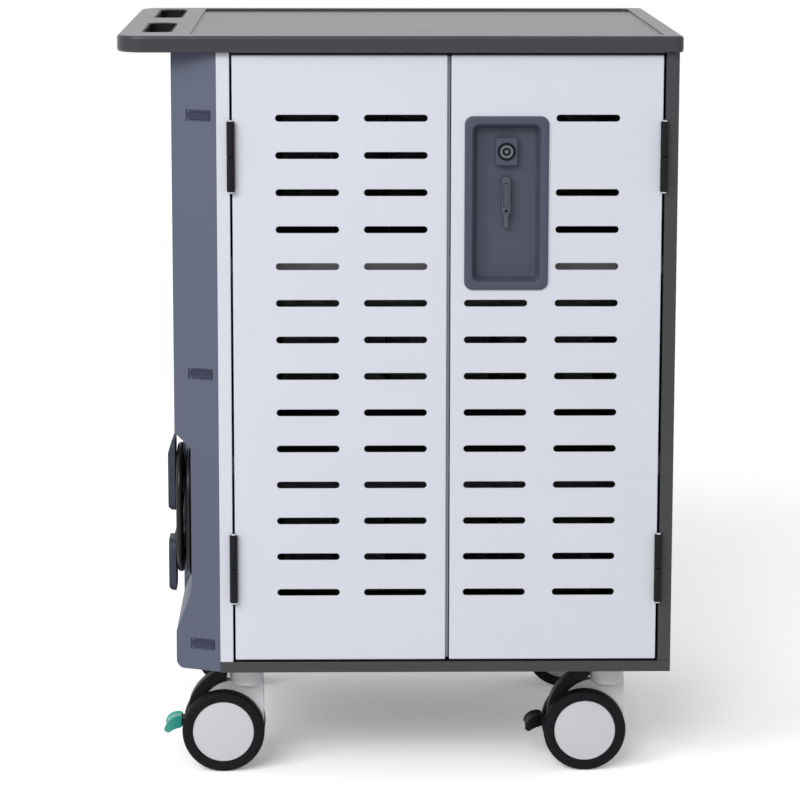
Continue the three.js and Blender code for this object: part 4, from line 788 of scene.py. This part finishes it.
hands = [[slab.ring(hand_line(y, inset), d) for inset, d in levels] for y in HAND_MIDDLES]
field_x = (hand_x + HAND_W + RIM_W + RECESS, top_hi.x - RIM_W)
field_y = (top_lo.y + RIM_W, top_hi.y - RIM_W)
field = [slab.ring(rounded(field_x, field_y, TOP_R_RIGHT, grow, 8), slab_t - d)
         for grow, d in [(0, 0), (-0.0006, 0.0007), (-0.0008, RECESS - 0.001), (-0.002, RECESS)]]
slab.wall(*slab_rings)
for rings in hands:
    slab.wall(*rings)
slab.wall(*field)
slab.cap(slab_rings[0], *[rings[0] for rings in hands])
slab.cap(slab_rings[-1], *[rings[-1] for rings in hands], field[0])
slab.cap(field[-1])
show("top_moulding", slab.bm, grey_moulding, "cabinet", "grey_moulding", "worksurface")

# Black liners in the hand slots are painted shade: they stand in for the shade deep inside the slots.
SHADE_LINER_T, SHADE_LINER_CROWN = 0.002, 0.0008
for number, y in enumerate(HAND_MIDDLES):
    shade_liner = Skin(lambda u, v, d: (u, v, top_lo.z + d))
    low, high = TOP_EASE / 2, slab_t - TOP_EASE / 2
    shade_liner_rings = [shade_liner.ring(hand_line(y, grow), d) for grow, d in [
        (-SEAT, low), (-SEAT, high), (-SHADE_LINER_T / 2, high + SHADE_LINER_CROWN), (-SHADE_LINER_T, high), (-SHADE_LINER_T, low)]]
    shade_liner.wall(*shade_liner_rings, shade_liner_rings[0])
    show(f"hand_slot_shade_liner_{number + 1}", shade_liner.bm, black_plastic, "cabinet", "black_plastic")


# The casters are twin-wheel casters: a plated plate and stem, a light grey hood between two wheels with black
# tyres and light discs. The front ones have a brake lever that hugs the tyres and ends in a foot tread.
tyre_rubber = moulded("tyre_rubber", tone(14, 14, 18), 0.62, grain=900, depth=0.0001, gloss=0.14)
disc_plastic = moulded("disc_plastic", tone(210, 210, 215), 0.42, drift=0.03)
# The hood is light grey; its tone is painted lighter still, as painted light for the hood and neck in shade
# under the base.
hood_plastic = moulded("hood_plastic", tone(238, 238, 241), 0.44, drift=0.03)
teal_plastic = moulded("teal_plastic", tone(58, 170, 155), 0.36)
WHEEL_W = 0.024
DISC_R = 0.0465
AXLE_R = 0.007
WEB_T = 0.018
HOOD_R = 0.053
COWL_X, COWL_Z = 0.0165, 0.020
NECK_R = 0.0255
STEM_BORE_R = 0.0116
TYRE_SHOULDER = 0.006
TYRE_BORE_R = 0.020
DISC_SEAT = 0.004
DISC_RUN = 0.0006
AXLE_EASE = 0.001
HOOD_EASE = 0.002
NECK_OVERLAP = 0.005


def arc(radius, u, v, start, end, steps=5):
    """Points on a circle round (u, v), from one angle to the other, in degrees."""
    angles = [math.radians(start + (end - start) * k / steps) for k in range(steps + 1)]
    return [(u + radius * math.cos(a), v + radius * math.sin(a)) for a in angles]


def slice_of(skin, line, lo, hi, ease):
    """A plate with eased edges: line gives its outline for a growth."""
    levels = [(-ease, lo), (-ease * ROUND, lo + ease * ROUND), (0, lo + ease)]
    levels += [(grow, lo + hi - d) for grow, d in reversed(levels)]
    rings = [skin.ring(line(grow), d) for grow, d in levels]
    skin.wall(*rings)
    skin.cap(rings[0])
    skin.cap(rings[-1])


def wheel(name, axle, outward):
    """A tyre on a light disc; name is also its body and its node."""
    lo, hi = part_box(name)
    radius = (hi.z - lo.z) / 2
    inner_y = hi.y if outward < 0 else lo.y
    place = lambda u, v, d: (axle.x + u, inner_y + outward * d, axle.z + v)
    face = WHEEL_W
    tyre = [(TYRE_BORE_R, SEAT)]
    tyre += arc(TYRE_SHOULDER, radius - TYRE_SHOULDER, TYRE_SHOULDER, -90, 0)
    tyre += arc(TYRE_SHOULDER, radius - TYRE_SHOULDER, face - TYRE_SHOULDER, 0, 90)
    tyre += [(DISC_R + 0.0022, face), (DISC_R + 0.0006, face - 0.0006), (DISC_R, face - DISC_SEAT),
             (TYRE_BORE_R, face - DISC_SEAT)]
    show(f"{name}_tyre", lathe(place, tyre, 96), tyre_rubber, name, "tyre_rubber", name)
    rim = DISC_R - DISC_RUN
    disc = [(0, face - 0.006), (rim, face - 0.006), (rim, face - 0.0026), (rim - 0.0008, face - 0.0018)]
    disc += [(rim - 0.0028, face - 0.0015), (rim - 0.0034, face - 0.0018), (rim - 0.0042, face - 0.0014)]
    disc += [(0.030, face - 0.0008), (0.014, face - 0.0005), (0, face - 0.0005)]
    show(f"{name}_disc", lathe(place, disc, 96), disc_plastic, name, "hood_plastic")


def hood_line(flank_x, top):
    """The hood's outline round the axle: a circle, cut off level under the neck and in line with its side."""

    def line(grow):
        radius = HOOD_R + grow
        flank = math.degrees(math.acos((flank_x + grow - COWL_X) / radius))
        brow = math.degrees(math.asin((top + grow - COWL_Z) / radius))
        return arc(radius, COWL_X, COWL_Z, brow, 360 - flank, 60) + [(flank_x + grow, top + grow)]

    return line


axles = {}
for corner in ("front_left", "front_right", "rear_left", "rear_right"):
    wheel_lo, wheel_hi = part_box(f"{corner}_front_wheel")
    hood_lo, hood_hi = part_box(f"{corner}_caster_hood")
    axle = Vector((
        (wheel_lo.x + wheel_hi.x) / 2, (hood_lo.y + hood_hi.y) / 2, (wheel_lo.z + wheel_hi.z) / 2))
    axles[corner] = axle
    wheel(f"{corner}_front_wheel", axle, -1)
    wheel(f"{corner}_rear_wheel", axle, 1)
    dress(f"{corner}_caster_plate", bright_metal, 0.0006)
    caster = f"{corner}_caster"
    swivel_x = hood_hi.x - NECK_R
    half = WEB_T / 2
    web = Skin(lambda u, v, d: (axle.x + u, axle.y + d, axle.z + v))
    neck_z = 2 * axle.z + NECK_OVERLAP
    web_line = hood_line(swivel_x + NECK_R - axle.x, neck_z + NECK_OVERLAP - axle.z)
    slice_of(web, web_line, -half, half, HOOD_EASE)
    show(f"{corner}_hood_web", web.bm, hood_plastic, caster, "hood_plastic", f"{corner}_caster_hood")
    top = hood_hi.z - neck_z
    neck = [(STEM_BORE_R, 0.0022), (NECK_R - 0.003, 0), (NECK_R - 0.0009, 0.0009), (NECK_R, 0.003)]
    neck += [(NECK_R, top - 0.006), (NECK_R - 0.0012, top - 0.0052), (NECK_R - 0.0012, top - 0.0044)]
    neck += [(NECK_R, top - 0.0036), (NECK_R, top - 0.0008), (NECK_R - 0.0008, top), (STEM_BORE_R, top)]
    neck_mesh = lathe(lambda u, v, d: (swivel_x + u, axle.y + v, neck_z + d), neck, 64)
    show(f"{corner}_neck", neck_mesh, hood_plastic, caster, "hood_plastic")
    reach = hood_hi.y - axle.y - 0.009
    pin = [(0, -reach), (AXLE_R - AXLE_EASE, -reach), (AXLE_R, AXLE_EASE - reach)]
    pin += [(AXLE_R, reach - AXLE_EASE), (AXLE_R - AXLE_EASE, reach), (0, reach)]
    pin_mesh = lathe(lambda u, v, d: (axle.x + u, axle.y + d, axle.z + v), pin, 32)
    show(f"{corner}_axle", pin_mesh, disc_plastic, caster, "hood_plastic")

BAND_INNER = HOOD_R + 0.002
BAND_OUTER = BAND_INNER + 0.0165
BAND_W = 0.026
BAND_FROM, BAND_INNER_FROM, BAND_TO = 98, 103, 205
BAND_EASE = 0.0015
ARM_T, ARM_EASE = 0.004, 0.0005
ARM_R, ARM_ANGLES = 0.054, (135, 160)
ARM_ROOT_R, ARM_ROOT_ANGLES = 0.0126, (200, 90)
EYE_R, EYE_EASE = 0.0155, 0.0006
STALK_Z = (0.003, 0.015)
TREAD_ROOT, TREAD_TIP = 0.0645, 0.0885
TREAD_Z = (0.002, 0.0175)
TREAD_TIP_W = 0.046
TREAD_STEPS = 12
TREAD_EASE = 0.0016
RIB_INSET = 0.004
TREAD_RIBS = (0.34, 0.5, 0.66, 0.82)


def bend(a, b, c, t):
    """A point of the curve from a to c that b draws to itself."""
    return tuple((1 - t) ** 2 * p + 2 * t * (1 - t) * q + t * t * r for p, q, r in zip(a, b, c))


def band_line(grow):
    outside = arc(BAND_OUTER + grow, COWL_X, COWL_Z, BAND_FROM, BAND_TO, 40)
    return outside + arc(BAND_INNER - grow, COWL_X, COWL_Z, BAND_TO, BAND_INNER_FROM, 38)


def arm_line(grow):
    return arc(ARM_R + grow, 0, 0, *ARM_ANGLES, 8) + arc(ARM_ROOT_R + grow, 0, 0, *ARM_ROOT_ANGLES, 12)


tread_top = ((-TREAD_ROOT, TREAD_Z[1]), (0.005 - TREAD_TIP, TREAD_Z[1]), (-TREAD_TIP, 0))
tread_under = ((0.005 - TREAD_TIP, -0.004), (-TREAD_ROOT - 0.010, TREAD_Z[0]), (-TREAD_ROOT, TREAD_Z[0]))


def tread_line(grow):
    line = [bend(*side, k / TREAD_STEPS) for side in (tread_top, tread_under) for k in range(TREAD_STEPS + 1)]
    moved = []
    for i, spot in enumerate(line):
        before, after = Vector(line[i - 1]), Vector(line[(i + 1) % len(line)])
        ahead = (after - before).normalized()
        moved.append((spot[0] - grow * ahead.y, spot[1] + grow * ahead.x))
    return moved


for corner, tread_finish, tread_slot in (
    ("front_left", teal_plastic, "teal_plastic"), ("front_right", black_plastic, "black_plastic"),
):
    axle = axles[corner]
    brake = f"{corner}_brake"
    place = lambda u, v, d: (axle.x + u, axle.y + d, axle.z + v)
    half = BAND_W / 2
    band = Skin(place)
    slice_of(band, band_line, -half, half, BAND_EASE)
    arm_y = -WEB_T / 2 - RUN - ARM_T
    slice_of(band, arm_line, arm_y, arm_y + ARM_T, ARM_EASE)
    cushion_box(
        band.bm, place(-TREAD_ROOT - 0.001, STALK_Z[0], -half),
        place(0.008 + COWL_X - BAND_OUTER, STALK_Z[1], half), BAND_EASE, 2)
    show(f"{corner}_brake_band", band.bm, black_plastic, brake, "black_plastic", f"{corner}_brake_lever")
    arm_end = arm_y + ARM_T
    eye = [(AXLE_R + RUN, arm_y), (EYE_R - EYE_EASE, arm_y), (EYE_R, arm_y + EYE_EASE)]
    eye += [(EYE_R, arm_end - EYE_EASE), (EYE_R - EYE_EASE, arm_end), (AXLE_R + RUN, arm_end)]
    show(f"{corner}_brake_eye", lathe(place, eye, 40), black_plastic, brake, "black_plastic")

    def half_width(u):
        return (BAND_W + (TREAD_TIP_W - BAND_W) * (-u - TREAD_ROOT) / (TREAD_TIP - TREAD_ROOT)) / 2

    tread = Skin(lambda u, v, d: place(u, v, d * half_width(u)))
    slice_of(tread, tread_line, -1, 1, TREAD_EASE)
    for share in TREAD_RIBS:
        u, v = bend(*tread_top, share)
        wide = half_width(u) - RIB_INSET
        rib_lo, rib_hi = place(u - 0.0004, v - 0.0022, -wide), place(u + 0.0020, v + 0.0002, wide)
        cushion_box(tread.bm, rib_lo, rib_hi, 0.0005, 2)
    show(f"{corner}_foot_tread", tread.bm, tread_finish, brake, tread_slot)


# The studio: a pale floor that keeps the cart's shadow, a white surround, and soft light from the upper left.
REACH = 60
WORLD_LIGHT = 0.48
FLOOR_TONE, FLOOR_SEEN, FLOOR_GLOW = 0.62, 1.25, 0.22
SUN_LIGHT, SUN_SPREAD, SUN_SPOT, SUN_TURN = 0.88, 20, (0, 0, 4), (57, 0, -15)
PANEL_LIGHT, PANEL_SIZE, PANEL_SPOT, PANEL_TURN = 80, 2.0, (-2.6, -3.2, 3.0), (57, 0, -42)
floor_mesh = bpy.data.meshes.new("studio_floor")
floor_corners = [(-REACH, -REACH, 0), (REACH, -REACH, 0), (REACH, REACH, 0), (-REACH, REACH, 0)]
floor_mesh.from_pydata(floor_corners, [], [(0, 1, 2, 3)])
floor = bpy.data.objects.new("studio_floor", floor_mesh)
scene.collection.objects.link(floor)


class Studio(Finish):
    """A node tree without a Principled shader, for the floor and the world."""

    def __init__(self, tree):
        self.nodes = tree.nodes
        self.links = tree.links
        self.nodes.clear()

    def seen(self):
        """1 for a ray from the camera, off a gloss or through glass."""
        path = [self.node("ShaderNodeLightPath", {}, {}, f"Is {kind} Ray")
                for kind in ("Camera", "Glossy", "Transmission")]
        either = self.node("ShaderNodeMath", {"operation": "MAXIMUM"}, {0: path[0], 1: path[1]})
        return self.node("ShaderNodeMath", {"operation": "MAXIMUM"}, {0: either, 1: path[2]})

    def finish(self, kind, unseen, seen):
        mixed = self.node("ShaderNodeMixShader", {}, {0: self.seen(), 1: unseen, 2: seen})
        self.node(kind, {}, {"Surface": mixed}, None)


pale = bpy.data.materials.new("pale_floor")
pale.use_nodes = True
floor_mesh.materials.append(pale)
ground = Studio(pale.node_tree)
matt = ground.node("ShaderNodeBsdfDiffuse", {}, {"Color": (FLOOR_TONE, FLOOR_TONE, FLOOR_TONE, 1)})
bright = ground.node("ShaderNodeBsdfDiffuse", {}, {"Color": (FLOOR_SEEN, FLOOR_SEEN, FLOOR_SEEN, 1)})
glow = ground.node("ShaderNodeEmission", {}, {"Color": (1, 1, 1, 1), "Strength": FLOOR_GLOW})
ground.finish("ShaderNodeOutputMaterial", matt, ground.node("ShaderNodeAddShader", {}, {0: bright, 1: glow}))

world = bpy.data.worlds.new("studio")
scene.world = world
world.use_nodes = True
sky = Studio(world.node_tree)
soft = sky.node("ShaderNodeBackground", {}, {"Color": (1, 1, 1, 1), "Strength": WORLD_LIGHT})
white = sky.node("ShaderNodeBackground", {}, {"Color": (1, 1, 1, 1), "Strength": 1})
sky.finish("ShaderNodeOutputWorld", soft, white)

sun = bpy.data.lights.new("sun", "SUN")
sun.energy = SUN_LIGHT
sun.angle = math.radians(SUN_SPREAD)
panel = bpy.data.lights.new("panel", "AREA")
panel.energy = PANEL_LIGHT
panel.size = PANEL_SIZE
for lamp, spot, turn in ((sun, SUN_SPOT, SUN_TURN), (panel, PANEL_SPOT, PANEL_TURN)):
    stand = bpy.data.objects.new(lamp.name, lamp)
    scene.collection.objects.link(stand)
    stand.location = spot
    stand.rotation_euler = Euler([math.radians(a) for a in turn], "XYZ")

scene.view_settings.view_transform = "Standard"
